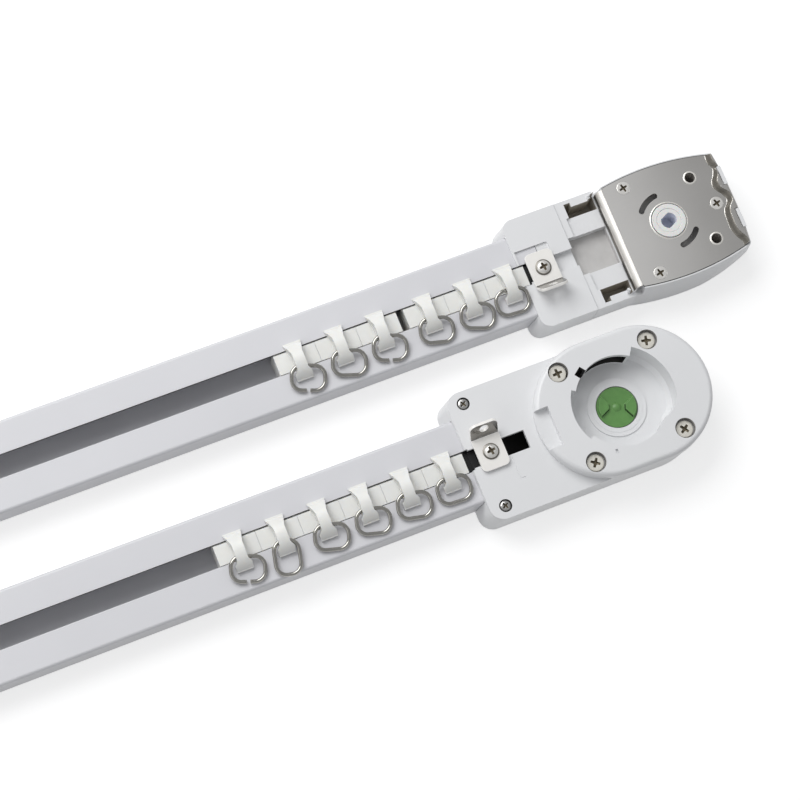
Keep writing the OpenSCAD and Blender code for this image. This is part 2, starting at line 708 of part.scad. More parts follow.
// wavy foot of the plate's raised end
module wavy_band() {
  polygon([[88.2, 26], [88.1, 20], [89.2, 16.5], [86.6, 12], [85.4, 8.6], [86.4, 5.4], [88.4, 3.2], [88.6, -1.6],
    [86.2, -4], [85.2, -8.5], [84.9, -15], [86, -19.6], [88.2, -26], [99, -26], [99, 26]]);
}
module rear_dock_plate() {
  color([0.76, 0.75, 0.73]) difference() {
    union() {
      difference() {
        translate([0, 0, plate_z - plate_t]) linear_extrude(plate_t) difference() {
          plate_outline(plate_half, 0);
          translate([0, -60]) square([33.8, 120]);
        }
      }
      // bend and flange on the left
      translate([33.8, -25.6, plate_z - 3.5]) rotate([-90, 0, 0]) difference() {
        cylinder(r = 3.5, h = 51.2);
        translate([0, 0, -1]) cylinder(r = 3.5 - plate_t, h = 54);
        translate([0, -10, -1]) cube([10, 20, 54]);
        translate([-10, 0, -1]) cube([20, 10, 54]);
      }
      box(30.3, 30.3 + plate_t, -25.6, 25.6, plate_z - 7.4, plate_z - 3.5);
      // raised wavy band and lip at the right end
      intersection() {
        linear_extrude(40) plate_outline(plate_half, 0);
        union() {
          for (k = [0, 1, 2]) translate([k * 1.1, 0, plate_z - 0.1]) linear_extrude(1 + 0.85 * k) wavy_band();
        }
      }
    }
    // windows of the clip tabs
    for (y = [[6.6, 16.9], [-16.4, -6.1]]) box(90.4, 94, y[0], y[1], 10, 40);
    post(hub_x, 0, 0, 40, 8.9);
    both_sides() post(76.7, 16.5, 0, 40, 2.6);
    for (p = [[43.8, 22.9], [43.8, -22.9], [84, 0]]) {
      post(p[0], p[1], 0, 40, 1.7);
      translate([p[0], p[1], plate_z - 1.6]) cylinder(r1 = 1.75, r2 = 3.45, h = 1.65);
    }
    // two arc slots about the hub
    for (mid = [119, 299]) translate([hub_x, 0, 0]) {
      rotate([0, 0, mid - 22]) rotate_extrude(angle = 44) translate([12.5, 10]) square([2.8, 20]);
      for (s = [-22, 22]) rotate([0, 0, mid + s]) post(13.9, 0, 10, 40, 1.4);
    }
  }
}
module plate_screws() {
  color([0.8, 0.8, 0.78]) for (p = [[43.8, 22.9], [43.8, -22.9], [84, 0]]) difference() {
    union() {
      translate([p[0], p[1], plate_z - 1.58]) cylinder(r1 = 1.65, r2 = 3.3, h = 1.6);
      post(p[0], p[1], 6, plate_z - 1.5, 1.5);
    }
    cross(p[0], p[1], plate_z + 0.02, 0.9, 3.8, 15);
  }
}
module hub_bush() {
  color([0.9, 0.9, 0.92]) difference() {
    post(hub_x, 0, belt_top + 1.5, plate_z + 0.5, 8.4);
    post(hub_x, 0, 0, 40, 6 + run_fit);
  }
}
// spindle with a two-flat socket for the motor's shaft
module rear_spindle() {
  color([0.88, 0.88, 0.93]) difference() {
    union() {
      post(hub_x, 0, belt_top + 1.3, plate_z + 0.3, 6);
      translate([hub_x, 0, 0]) rotate([0, 0, 25]) box(-4.1, 4.1, -4.1, 4.1, belt_top + 0.3, belt_top + 1.5);
    }
    translate([hub_x, 0, 0]) rotate([0, 0, 25]) intersection() {
      post(0, 0, belt_top + 2.3, 40, 3.9);
      box(-5, 5, -3, 3, 0, 40);
    }
  }
}
module rear_pulley() {
  difference() {
    belt_wheel(hub_x, 3.5 + run_fit, belt_top + 0.9, 0);
    translate([hub_x, 0, 0]) rotate([0, 0, 25]) box(-4.2, 4.2, -4.2, 4.2, belt_top + 0.25, 30);
  }
}

front_side() rail(front_end);  // front_rail
front_side() front_base();
front_side() front_cover();
front_side() front_dock();
front_side() dock_screws();  // front_dock_screws
front_side() cover_screws();  // front_cover_screws
front_side() belt(0, front_idler_x);  // front_belt
front_side() front_coupler();
front_side() belt_wheel(0, 5.52, cup_floor - 1.6, 12.1);  // front_pulley
front_side() bushes(0);  // front_bushes
front_side() bracket(front_bracket_x, front_plate_z, 0);  // front_bracket
front_side() slider(front_bracket_x, front_plate_z - 1.55, front_reach, 1);  // front_slider
front_side() bracket_screw(front_bracket_x, front_plate_z + 0.05);  // front_bracket_screw
front_side() belt_clamp(front_bracket_x, 0);  // front_belt_clamp
front_side() idler_base(front_idler_x);  // front_idler_base
front_side() idler_cover(front_idler_x);  // front_idler_cover
front_side() belt_wheel(front_idler_x, 2.5 + run_fit, belt_top + 1, 0);  // front_idler_pulley
idler_pins();
idler_screws();
rear_side() rail(rear_end);  // rear_rail
rear_side() rear_adapter();
rear_side() rear_housing();
rear_side() rear_base_plate();
rear_side() rear_dock_plate();
rear_side() plate_screws();  // rear_plate_screws
rear_side() belt(hub_x, rear_idler_x);  // rear_belt
rear_side() rear_spindle();
rear_side() rear_pulley();
rear_side() hub_bush();  // rear_hub_bush
rear_side() bracket(rear_bracket_x, rear_plate_z, 1);  // rear_bracket
rear_side() slider(rear_bracket_x, rear_plate_z - 1.55, rear_reach, -0.5);  // rear_slider
rear_side() bracket_screw(rear_bracket_x, rear_plate_z + 0.05);  // rear_bracket_screw
rear_side() belt_clamp(rear_bracket_x, 1);  // rear_belt_clamp
rear_side() idler_base(rear_idler_x);  // rear_idler_base
rear_side() idler_cover(rear_idler_x);  // rear_idler_cover
rear_side() belt_wheel(rear_idler_x, 2.5 + run_fit, belt_top + 1, 0);  // rear_idler_pulley
front_side() runner(front_runner_x - 5 * runner_pitch);  // front_runner_1
front_side() runner(front_runner_x - 4 * runner_pitch);  // front_runner_2
front_side() runner(front_runner_x - 3 * runner_pitch);  // front_runner_3
front_side() runner(front_runner_x - 2 * runner_pitch);  // front_runner_4
front_side() runner(front_runner_x - runner_pitch);  // front_runner_5
front_side() runner(front_runner_x);  // front_runner_6
rear_side() runner(rear_runner_x - 5 * runner_pitch - rear_spread);  // rear_runner_1
rear_side() runner(rear_runner_x - 4 * runner_pitch - rear_spread);  // rear_runner_2
rear_side() runner(rear_runner_x - 3 * runner_pitch - rear_spread);  // rear_runner_3
rear_side() runner(rear_runner_x - 2 * runner_pitch);  // rear_runner_4
rear_side() runner(rear_runner_x - runner_pitch);  // rear_runner_5
rear_side() runner(rear_runner_x);  // rear_runner_6
front_side() ring(front_runner_x - 5 * runner_pitch, -18, 3, ring_a, ring_b, true);  // front_ring_1
front_side() ring(front_runner_x - 4 * runner_pitch, -12, 0.8, ring_b, ring_a, false);  // front_ring_2
front_side() ring(front_runner_x - 3 * runner_pitch, -15, 2.6, ring_a, ring_b, false);  // front_ring_3
front_side() ring(front_runner_x - 2 * runner_pitch, -15, 2.6, ring_a, ring_b, false);  // front_ring_4
front_side() ring(front_runner_x - runner_pitch, -12, 2.2, ring_a, ring_b, false);  // front_ring_5
front_side() ring(front_runner_x, -3, 0.6, ring_a, ring_b, false);  // front_ring_6
rear_side() ring(rear_runner_x - 5 * runner_pitch - rear_spread, -20, 3.4, ring_a, ring_b, true);  // rear_ring_1
rear_side() ring(rear_runner_x - 4 * runner_pitch - rear_spread, -18, 3.2, ring_a, ring_b, false);  // rear_ring_2
rear_side() ring(rear_runner_x - 3 * runner_pitch - rear_spread, -18, 3.2, ring_a, ring_b, true);  // rear_ring_3
rear_side() ring(rear_runner_x - 2 * runner_pitch, -14, 2.4, ring_a, ring_b, false);  // rear_ring_4
rear_side() ring(rear_runner_x - runner_pitch, -20, 3.2, ring_a, ring_b, false);  // rear_ring_5
rear_side() ring(rear_runner_x, -3, -1, ring_a, ring_b, false);  // rear_ring_6
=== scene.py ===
import json
import math

import bpy
from mathutils import Matrix, Vector


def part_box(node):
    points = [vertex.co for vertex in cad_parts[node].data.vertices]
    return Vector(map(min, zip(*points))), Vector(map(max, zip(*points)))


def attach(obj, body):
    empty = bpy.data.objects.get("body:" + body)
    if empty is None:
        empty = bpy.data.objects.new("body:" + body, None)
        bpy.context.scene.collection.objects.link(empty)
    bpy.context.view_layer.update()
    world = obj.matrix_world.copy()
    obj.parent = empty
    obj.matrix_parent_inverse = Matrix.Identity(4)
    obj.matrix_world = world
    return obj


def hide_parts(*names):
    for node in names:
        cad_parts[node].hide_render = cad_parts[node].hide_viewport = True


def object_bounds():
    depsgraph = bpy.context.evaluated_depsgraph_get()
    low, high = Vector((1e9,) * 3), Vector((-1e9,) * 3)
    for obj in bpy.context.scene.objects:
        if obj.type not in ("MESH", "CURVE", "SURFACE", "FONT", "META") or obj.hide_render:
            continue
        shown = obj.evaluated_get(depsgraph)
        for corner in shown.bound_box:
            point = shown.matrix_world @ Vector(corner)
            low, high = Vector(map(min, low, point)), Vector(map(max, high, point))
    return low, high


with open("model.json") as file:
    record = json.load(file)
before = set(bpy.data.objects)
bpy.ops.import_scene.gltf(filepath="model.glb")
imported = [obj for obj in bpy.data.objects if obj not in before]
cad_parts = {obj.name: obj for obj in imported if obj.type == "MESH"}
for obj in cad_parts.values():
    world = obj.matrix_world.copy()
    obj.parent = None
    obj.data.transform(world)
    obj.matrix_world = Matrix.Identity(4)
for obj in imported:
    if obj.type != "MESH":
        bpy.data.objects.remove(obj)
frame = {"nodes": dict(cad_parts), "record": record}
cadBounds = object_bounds()
nodes = frame["nodes"]
slotOf = {part["node"]: part["material_slot"] for part in frame["record"]["subparts"]}
bodyOf = {n: body for body, members in frame["record"]["behaviour"]["bodies"].items() for n in members}
mm = 0.001

# The dock's turning axis is the working zero of both tracks
couplerLow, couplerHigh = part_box("front_coupler")
zero = Vector(((couplerLow.x + couplerHigh.x) / 2, (couplerLow.y + couplerHigh.y) / 2, 0))
spindleLow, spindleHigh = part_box("rear_spindle")
rearY = (spindleLow.y + spindleHigh.y) / 2 - zero.y


def front(x, y, z):
    return zero + Vector((x, y, z)) * mm


def rear(x, y, z):
    return zero + Vector((x * mm, y * mm + rearY, z * mm))


# Camera
view = {"aimX": -93.81, "aimY": 42.53, "distance": 1222.57, "azimuth": -41.841, "elevation": 74.538,
        "roll": 20.501, "lens": 114.73}


def makeCamera():
    az, el, roll = (math.radians(view[k]) for k in ("azimuth", "elevation", "roll"))
    back = Vector((math.sin(az) * math.cos(el), -math.cos(az) * math.cos(el), math.sin(el)))
    side = Vector((math.cos(az), math.sin(az), 0))
    up = back.cross(side)
    right = side * math.cos(roll) + up * math.sin(roll)
    top = up * math.cos(roll) - side * math.sin(roll)
    data = bpy.data.cameras.new("camera")
    data.lens = view["lens"]
    data.sensor_width = 36
    data.clip_start = 0.05
    data.clip_end = 20
    camera = bpy.data.objects.new("camera", data)
    turn = Matrix((right, top, back)).transposed().to_4x4()
    place = front(view["aimX"], view["aimY"], 0) + back * view["distance"] * mm
    camera.matrix_world = Matrix.Translation(place) @ turn
    bpy.context.scene.collection.objects.link(camera)
    bpy.context.scene.camera = camera


makeCamera()
print("camera ready")


# Shader groups shared by the materials
def newGroup(name, inputs, outputs):
    group = bpy.data.node_groups.new(name, "ShaderNodeTree")
    for label, kind, value in inputs:
        socket = group.interface.new_socket(name=label, in_out="INPUT", socket_type=kind)
        socket.default_value = value
    for label, kind in outputs:
        group.interface.new_socket(name=label, in_out="OUTPUT", socket_type=kind)
    return group, group.nodes.new("NodeGroupInput"), group.nodes.new("NodeGroupOutput")


def addNode(tree, kind, **settings):
    node = tree.nodes.new(kind)
    for key, value in settings.items():
        setattr(node, key, value)
    return node


def makeGrainGroup():
    # fine bump of a moulded or powder coated surface
    group, given, out = newGroup("surfaceGrain",
                                 [("Scale", "NodeSocketFloat", 900.0), ("Height", "NodeSocketFloat", 0.1)],
                                 [("Normal", "NodeSocketVector"), ("Value", "NodeSocketFloat")])
    place = addNode(group, "ShaderNodeTexCoord")
    noise = addNode(group, "ShaderNodeTexNoise")
    noise.inputs["Detail"].default_value = 3
    noise.inputs["Roughness"].default_value = 0.55
    bump = addNode(group, "ShaderNodeBump")
    bump.inputs["Distance"].default_value = 0.0002
    group.links.new(place.outputs["Object"], noise.inputs["Vector"])
    group.links.new(given.outputs["Scale"], noise.inputs["Scale"])
    group.links.new(given.outputs["Height"], bump.inputs["Strength"])
    group.links.new(noise.outputs["Fac"], bump.inputs["Height"])
    group.links.new(bump.outputs["Normal"], out.inputs["Normal"])
    group.links.new(noise.outputs["Fac"], out.inputs["Value"])
    return group


def makeTintGroup():
    # slow drift of a colour between two tones
    group, given, out = newGroup("toneDrift",
                                 [("Tone", "NodeSocketColor", (1, 1, 1, 1)),
                                  ("Other", "NodeSocketColor", (1, 1, 1, 1)),
                                  ("Scale", "NodeSocketFloat", 20.0)],
                                 [("Color", "NodeSocketColor")])
    place = addNode(group, "ShaderNodeTexCoord")
    noise = addNode(group, "ShaderNodeTexNoise")
    noise.inputs["Detail"].default_value = 4
    ramp = addNode(group, "ShaderNodeMapRange")
    ramp.inputs["From Min"].default_value = 0.3
    ramp.inputs["From Max"].default_value = 0.7
    mix = addNode(group, "ShaderNodeMix", data_type="RGBA")
    group.links.new(place.outputs["Object"], noise.inputs["Vector"])
    group.links.new(given.outputs["Scale"], noise.inputs["Scale"])
    group.links.new(noise.outputs["Fac"], ramp.inputs["Value"])
    group.links.new(ramp.outputs["Result"], mix.inputs["Factor"])
    group.links.new(given.outputs["Tone"], mix.inputs["A"])
    group.links.new(given.outputs["Other"], mix.inputs["B"])
    group.links.new(mix.outputs["Result"], out.inputs["Color"])
    return group


def makeEdgeGroup():
    # mask of the bevelled edges, where a painted highlight lightens the colour, broken up by a slow noise
    group, given, out = newGroup("edgeMask", [("Amount", "NodeSocketFloat", 1.0),
                                              ("Scale", "NodeSocketFloat", 60.0)],
                                 [("Mask", "NodeSocketFloat")])
    edge = addNode(group, "ShaderNodeAttribute", attribute_name="edge")
    place = addNode(group, "ShaderNodeTexCoord")
    noise = addNode(group, "ShaderNodeTexNoise")
    ramp = addNode(group, "ShaderNodeMapRange")
    ramp.inputs["From Min"].default_value = 0.35
    ramp.inputs["From Max"].default_value = 0.6
    ramp.inputs["To Min"].default_value = 0.55
    rubbed = addNode(group, "ShaderNodeMath", operation="MULTIPLY")
    level = addNode(group, "ShaderNodeMath", operation="MULTIPLY")
    group.links.new(place.outputs["Object"], noise.inputs["Vector"])
    group.links.new(given.outputs["Scale"], noise.inputs["Scale"])
    group.links.new(noise.outputs["Fac"], ramp.inputs["Value"])
    group.links.new(edge.outputs["Fac"], rubbed.inputs[0])
    group.links.new(ramp.outputs["Result"], rubbed.inputs[1])
    group.links.new(rubbed.outputs["Value"], level.inputs[0])
    group.links.new(given.outputs["Amount"], level.inputs[1])
    group.links.new(level.outputs["Value"], out.inputs["Mask"])
    return group


def makeBrushGroup():
    # long fine lines of rolled or drawn metal, along x
    group, given, out = newGroup("brushLines",
                                 [("Across", "NodeSocketFloat", 2500.0), ("Along", "NodeSocketFloat", 60.0),
                                  ("Height", "NodeSocketFloat", 0.1)],
                                 [("Normal", "NodeSocketVector"), ("Value", "NodeSocketFloat")])
    place = addNode(group, "ShaderNodeTexCoord")
    size = addNode(group, "ShaderNodeCombineXYZ")
    stretch = addNode(group, "ShaderNodeVectorMath", operation="MULTIPLY")
    noise = addNode(group, "ShaderNodeTexNoise")
    noise.inputs["Scale"].default_value = 1
    noise.inputs["Detail"].default_value = 2
    bump = addNode(group, "ShaderNodeBump")
    bump.inputs["Distance"].default_value = 0.0001
    group.links.new(given.outputs["Along"], size.inputs["X"])
    group.links.new(given.outputs["Across"], size.inputs["Y"])
    group.links.new(given.outputs["Across"], size.inputs["Z"])
    group.links.new(place.outputs["Object"], stretch.inputs[0])
    group.links.new(size.outputs["Vector"], stretch.inputs[1])
    group.links.new(stretch.outputs["Vector"], noise.inputs["Vector"])
    group.links.new(given.outputs["Height"], bump.inputs["Strength"])
    group.links.new(noise.outputs["Fac"], bump.inputs["Height"])
    group.links.new(bump.outputs["Normal"], out.inputs["Normal"])
    group.links.new(noise.outputs["Fac"], out.inputs["Value"])
    return group


grainGroup = makeGrainGroup()
tintGroup = makeTintGroup()
edgeGroup = makeEdgeGroup()
brushGroup = makeBrushGroup()


def useGroup(tree, group, **values):
    node = addNode(tree, "ShaderNodeGroup", node_tree=group)
    for label, value in values.items():
        node.inputs[label].default_value = value
    return node


def rgb(value):
    return (*value, 1)


def startMaterial(name, metallic=0.0):
    material = bpy.data.materials.new(name)
    material.use_nodes = True
    tree = material.node_tree
    shader = tree.nodes["Principled BSDF"]
    shader.inputs["Metallic"].default_value = metallic
    return material, tree, shader


def setTone(tree, shader, tone, other, scale, edgeHighlightTone=None, edgeHighlight=1.0):
    drift = useGroup(tree, tintGroup, Tone=rgb(tone), Other=rgb(other), Scale=scale)
    source = drift.outputs["Color"]
    # the bevelled edges take a lighter tone: a painted highlight
    if edgeHighlightTone:
        edge = useGroup(tree, edgeGroup, Amount=edgeHighlight)
        mix = addNode(tree, "ShaderNodeMix", data_type="RGBA")
        mix.inputs["B"].default_value = rgb(edgeHighlightTone)
        tree.links.new(edge.outputs["Mask"], mix.inputs["Factor"])
        tree.links.new(source, mix.inputs["A"])
        source = mix.outputs["Result"]
    tree.links.new(source, shader.inputs["Base Color"])


def setSurface(tree, shader, group, low, high, **values):
    # bump and a roughness that follows the same grain
    grain = useGroup(tree, group, **values)
    ramp = addNode(tree, "ShaderNodeMapRange")
    ramp.inputs["From Min"].default_value = 0.3
    ramp.inputs["From Max"].default_value = 0.7
    ramp.inputs["To Min"].default_value = low
    ramp.inputs["To Max"].default_value = high
    tree.links.new(grain.outputs["Value"], ramp.inputs["Value"])
    tree.links.new(ramp.outputs["Result"], shader.inputs["Roughness"])
    tree.links.new(grain.outputs["Normal"], shader.inputs["Normal"])


def railPaint():
    material, tree, shader = startMaterial("railPaint")
    setTone(tree, shader, (0.685, 0.685, 0.71), (0.66, 0.66, 0.685), 14, edgeHighlightTone=(0.75, 0.75, 0.77))
    setSurface(tree, shader, grainGroup, 0.38, 0.46, Scale=1500.0, Height=0.06)
    return material


def headPlastic():
    material, tree, shader = startMaterial("headPlastic")
    setTone(tree, shader, (0.775, 0.78, 0.79), (0.755, 0.76, 0.77), 30, edgeHighlightTone=(0.83, 0.835, 0.84))
    setSurface(tree, shader, grainGroup, 0.30, 0.38, Scale=2200.0, Height=0.03)
    return material


def runnerNylon():
    material, tree, shader = startMaterial("runnerNylon")
    setTone(tree, shader, (0.83, 0.83, 0.805), (0.80, 0.80, 0.775), 120, edgeHighlightTone=(0.86, 0.86, 0.84))
    setSurface(tree, shader, grainGroup, 0.36, 0.44, Scale=2600.0, Height=0.04)
    shader.inputs["Subsurface Weight"].default_value = 0.25
    shader.inputs["Subsurface Radius"].default_value = (1.0, 0.9, 0.75)
    shader.inputs["Subsurface Scale"].default_value = 0.0012
    return material


def naturalNylon():
    material, tree, shader = startMaterial("naturalNylon")
    setTone(tree, shader, (0.80, 0.80, 0.785), (0.77, 0.77, 0.755), 90, edgeHighlightTone=(0.84, 0.84, 0.83))
    setSurface(tree, shader, grainGroup, 0.32, 0.40, Scale=2600.0, Height=0.04)
    shader.inputs["Subsurface Weight"].default_value = 0.15
    shader.inputs["Subsurface Scale"].default_value = 0.001
    return material


def ringWire():
    material, tree, shader = startMaterial("ringWire", 1.0)
    setTone(tree, shader, (0.44, 0.43, 0.40), (0.38, 0.37, 0.345), 260)
    setSurface(tree, shader, grainGroup, 0.16, 0.22, Scale=3500.0, Height=0.02)
    return material


def platedSteel():
    material, tree, shader = startMaterial("platedSteel", 0.15)
    setTone(tree, shader, (0.93, 0.91, 0.875), (0.90, 0.88, 0.845), 160, edgeHighlightTone=(1.0, 0.99, 0.97))
    setSurface(tree, shader, grainGroup, 0.28, 0.34, Scale=2400.0, Height=0.01)
    return material


def creamPlating():
    material, tree, shader = startMaterial("creamPlating", 0.30)
    setTone(tree, shader, (0.86, 0.835, 0.76), (0.82, 0.795, 0.72), 300, edgeHighlightTone=(0.92, 0.90, 0.85))
    setSurface(tree, shader, grainGroup, 0.26, 0.34, Scale=3000.0, Height=0.02)
    return material


def greyPlating():
    material, tree, shader = startMaterial("greyPlating", 0.85)
    setTone(tree, shader, (0.50, 0.495, 0.485), (0.44, 0.435, 0.425), 300, edgeHighlightTone=(0.66, 0.655, 0.64))
    setSurface(tree, shader, grainGroup, 0.24, 0.34, Scale=3000.0, Height=0.02)
    return material


def brightPlating():
    material, tree, shader = startMaterial("brightPlating", 0.60)
    setTone(tree, shader, (0.80, 0.785, 0.755), (0.74, 0.725, 0.695), 300, edgeHighlightTone=(0.88, 0.87, 0.85))
    setSurface(tree, shader, grainGroup, 0.32, 0.40, Scale=3000.0, Height=0.02)
    return material


def brushedPlate():
    # polished sheet with a painted reflection: its colour is lighter at the left end and darker towards the
    # right end
    material, tree, shader = startMaterial("brushedPlate", 0.8)
    place = addNode(tree, "ShaderNodeTexCoord")
    along = addNode(tree, "ShaderNodeSeparateXYZ")
    ramp = addNode(tree, "ShaderNodeMapRange", interpolation_type="SMOOTHSTEP")
    ramp.inputs["From Min"].default_value = rear(34, 0, 0).x
    ramp.inputs["From Max"].default_value = rear(86, 0, 0).x
    left = useGroup(tree, tintGroup, Tone=rgb((0.86, 0.845, 0.82)),
                    Other=rgb((0.80, 0.785, 0.76)), Scale=26.0)
    right = useGroup(tree, tintGroup, Tone=rgb((0.56, 0.545, 0.525)),
                     Other=rgb((0.51, 0.497, 0.478)), Scale=30.0)
    mix = addNode(tree, "ShaderNodeMix", data_type="RGBA")
    # painted highlight on the bevelled edges
    edge = useGroup(tree, edgeGroup, Amount=0.9)
    edgeHighlight = addNode(tree, "ShaderNodeMix", data_type="RGBA")
    edgeHighlight.inputs["B"].default_value = rgb((0.95, 0.93, 0.88))
    tree.links.new(place.outputs["Object"], along.inputs["Vector"])
    tree.links.new(along.outputs["X"], ramp.inputs["Value"])
    tree.links.new(ramp.outputs["Result"], mix.inputs["Factor"])
    tree.links.new(left.outputs["Color"], mix.inputs["A"])
    tree.links.new(right.outputs["Color"], mix.inputs["B"])
    tree.links.new(mix.outputs["Result"], edgeHighlight.inputs["A"])
    tree.links.new(edge.outputs["Mask"], edgeHighlight.inputs["Factor"])
    tree.links.new(edgeHighlight.outputs["Result"], shader.inputs["Base Color"])
    setSurface(tree, shader, brushGroup, 0.25, 0.27, Across=3000.0, Along=120.0, Height=0.003)
    return material


def couplerGreen():
    material, tree, shader = startMaterial("couplerGreen")
    setTone(tree, shader, (0.125, 0.29, 0.080), (0.105, 0.255, 0.068), 300, edgeHighlightTone=(0.19, 0.38, 0.13))
    setSurface(tree, shader, grainGroup, 0.34, 0.44, Scale=1800.0, Height=0.05)
    return material


def shadeNylon():
    # near-black nylon: painted shade for the dark block under the bracket plates
    material, tree, shader = startMaterial("shadeNylon")
    setTone(tree, shader, (0.014, 0.014, 0.015), (0.009, 0.009, 0.010), 120, edgeHighlightTone=(0.035, 0.035, 0.037))
    setSurface(tree, shader, grainGroup, 0.40, 0.50, Scale=2000.0, Height=0.08)
    shader.inputs["Specular IOR Level"].default_value = 0.3
    return material


def innerShade():
    # painted shade for the unlit inside of the housings, the dock's window and key hole and the cover's
    # screw holes
    material, tree, shader = startMaterial("innerShade")
    setTone(tree, shader, (0.020, 0.019, 0.018), (0.032, 0.029, 0.027), 220)
    setSurface(tree, shader, grainGroup, 0.55, 0.70, Scale=1600.0, Height=0.1)
    return material


def paintedShadeMaterial(name, tone, other):
    # a matt material whose colour is painted shade for a hollow, gap or groove
    material, tree, shader = startMaterial(name)
    setTone(tree, shader, tone, other, 180)
    setSurface(tree, shader, grainGroup, 0.50, 0.62, Scale=1600.0, Height=0.06)
    return material


def highlightSteel():
    # lighter, rougher steel: a painted highlight along the bend of the sheet and round its holes
    material, tree, shader = startMaterial("highlightSteel", 0.75)
    setTone(tree, shader, (0.90, 0.875, 0.83), (0.85, 0.825, 0.78), 90)
    setSurface(tree, shader, brushGroup, 0.40, 0.48, Across=3000.0, Along=120.0, Height=0.01)
    return material


def darkReflectionSteel():
    # painted dark reflection and shade on the foot of the wavy fold, on the flange and on the rims under
    # the bracket screws' heads
    material, tree, shader = startMaterial("darkReflectionSteel", 0.9)
    setTone(tree, shader, (0.24, 0.225, 0.20), (0.17, 0.16, 0.14), 200)
    setSurface(tree, shader, grainGroup, 0.30, 0.42, Scale=2400.0, Height=0.02)
    return material


def tabShadeSteel():
    # painted shade on the inner side of a bracket's hook
    material, tree, shader = startMaterial("tabShadeSteel", 1.0)
    setTone(tree, shader, (0.34, 0.33, 0.315), (0.27, 0.262, 0.25), 220, edgeHighlightTone=(0.90, 0.89, 0.87))
    setSurface(tree, shader, grainGroup, 0.16, 0.26, Scale=2400.0, Height=0.02)
    return material


def channelShade():
    # inside of the rail, painted greyer than the coated outside as shade in the channel
    material, tree, shader = startMaterial("channelShade")
    setTone(tree, shader, (0.62, 0.62, 0.65), (0.58, 0.58, 0.61), 40)
    setSurface(tree, shader, grainGroup, 0.42, 0.55, Scale=1500.0, Height=0.06)
    return material


def recessDark():
    # painted shade in the bottom of a driver's cross
    material, tree, shader = startMaterial("recessDark", 0.6)
    setTone(tree, shader, (0.20, 0.17, 0.115), (0.12, 0.10, 0.07), 900)
    setSurface(tree, shader, grainGroup, 0.40, 0.55, Scale=3000.0, Height=0.08)
    return material


def beltRubber():
    material, tree, shader = startMaterial("beltRubber")
    setTone(tree, shader, (0.018, 0.018, 0.020), (0.026, 0.026, 0.028), 60)
    setSurface(tree, shader, grainGroup, 0.60, 0.78, Scale=1500.0, Height=0.2)
    return material


def bronze():
    material, tree, shader = startMaterial("bronze", 1.0)
    setTone(tree, shader, (0.48, 0.33, 0.15), (0.40, 0.27, 0.12), 200, edgeHighlightTone=(0.62, 0.46, 0.24))
    setSurface(tree, shader, grainGroup, 0.30, 0.45, Scale=1800.0, Height=0.1)
    return material


materials = {
    "anodised_rail": railPaint(), "housing_plastic": headPlastic(), "runner_nylon": runnerNylon(),
    "natural_nylon": naturalNylon(), "ring_wire": ringWire(), "coupler_green": couplerGreen(),
    "dark_nylon": shadeNylon(), "belt_rubber": beltRubber(), "bronze": bronze(),
    "plated_steel": platedSteel(), "brushed_plate": brushedPlate(),
}
spareFinish = bpy.data.materials.new("spare")
paintedInnerShade = innerShade()
paintedChannelShade = channelShade()
paintedPocketShade = paintedShadeMaterial("pocketShade", (0.50, 0.465, 0.41), (0.42, 0.39, 0.34))
paintedRecessShade = paintedShadeMaterial("recessShade", (0.56, 0.55, 0.54), (0.50, 0.49, 0.48))
paintedSlotShade = paintedShadeMaterial("slotShade", (0.62, 0.60, 0.57), (0.54, 0.52, 0.495))
paintedGapShade = paintedShadeMaterial("gapShade", (0.018, 0.017, 0.016), (0.012, 0.012, 0.011))
paintedHighlight = highlightSteel()
paintedDarkReflection = darkReflectionSteel()
paintedTabShade = tabShadeSteel()
paintedSeatShade = paintedShadeMaterial("seatShade", (0.30, 0.29, 0.28), (0.26, 0.25, 0.24))
paintedSocketShade = paintedShadeMaterial("socketShade", (0.76, 0.78, 0.87), (0.68, 0.70, 0.80))
greenShadeFinish = paintedShadeMaterial("greenShade", (0.030, 0.080, 0.020), (0.022, 0.060, 0.015))
paintedCrossShade = recessDark()
print("materials ready")


# Mesh helpers
def activate(obj):
    bpy.ops.object.select_all(action="DESELECT")
    obj.select_set(True)
    bpy.context.view_layer.objects.active = obj


def applyModifier(obj, kind, **settings):
    activate(obj)
    modifier = obj.modifiers.new(kind.lower(), kind)
    for key, value in settings.items():
        setattr(modifier, key, value)
    bpy.ops.object.modifier_apply(modifier=modifier.name)


def smooth(obj, angle=35):
    # broad flat faces keep their own normal and the bevels turn between them
    activate(obj)
    bpy.ops.object.shade_smooth_by_angle(angle=math.radians(angle))
    applyModifier(obj, "WEIGHTED_NORMAL", keep_sharp=True, weight=100)


def cleanCopy(name):
    # one welded mesh from a CAD node, with its flat faces whole again
    mesh = nodes[name].data.copy()
    mesh.materials.clear()
    piece = bpy.data.objects.new(name + "_shape", mesh)
    bpy.context.scene.collection.objects.link(piece)
    activate(piece)
    bpy.ops.mesh.customdata_custom_splitnormals_clear()
    bpy.ops.object.mode_set(mode="EDIT")
    bpy.ops.mesh.select_all(action="SELECT")
    bpy.ops.mesh.remove_doubles(threshold=0.000002)
    bpy.ops.mesh.dissolve_limited(angle_limit=math.radians(0.5))
    bpy.ops.mesh.normals_make_consistent(inside=False)
    bpy.ops.object.mode_set(mode="OBJECT")
    return piece


def settle(piece, name, finish=None):
    # the piece takes the node's place, body and finish
    if not piece.data.materials:
        piece.data.materials.append(finish or materials[slotOf[name]])
    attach(piece, bodyOf[name])
    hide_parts(name)
    return piece


def paintFaces(piece, finish, test):
    # a second material, carrying painted shade or a painted highlight, on the faces that the test picks by
    # their middle and direction
    piece.data.materials.append(finish)
    for face in piece.data.polygons:
        if test(face.center, face.normal):
            face.material_index = len(piece.data.materials) - 1


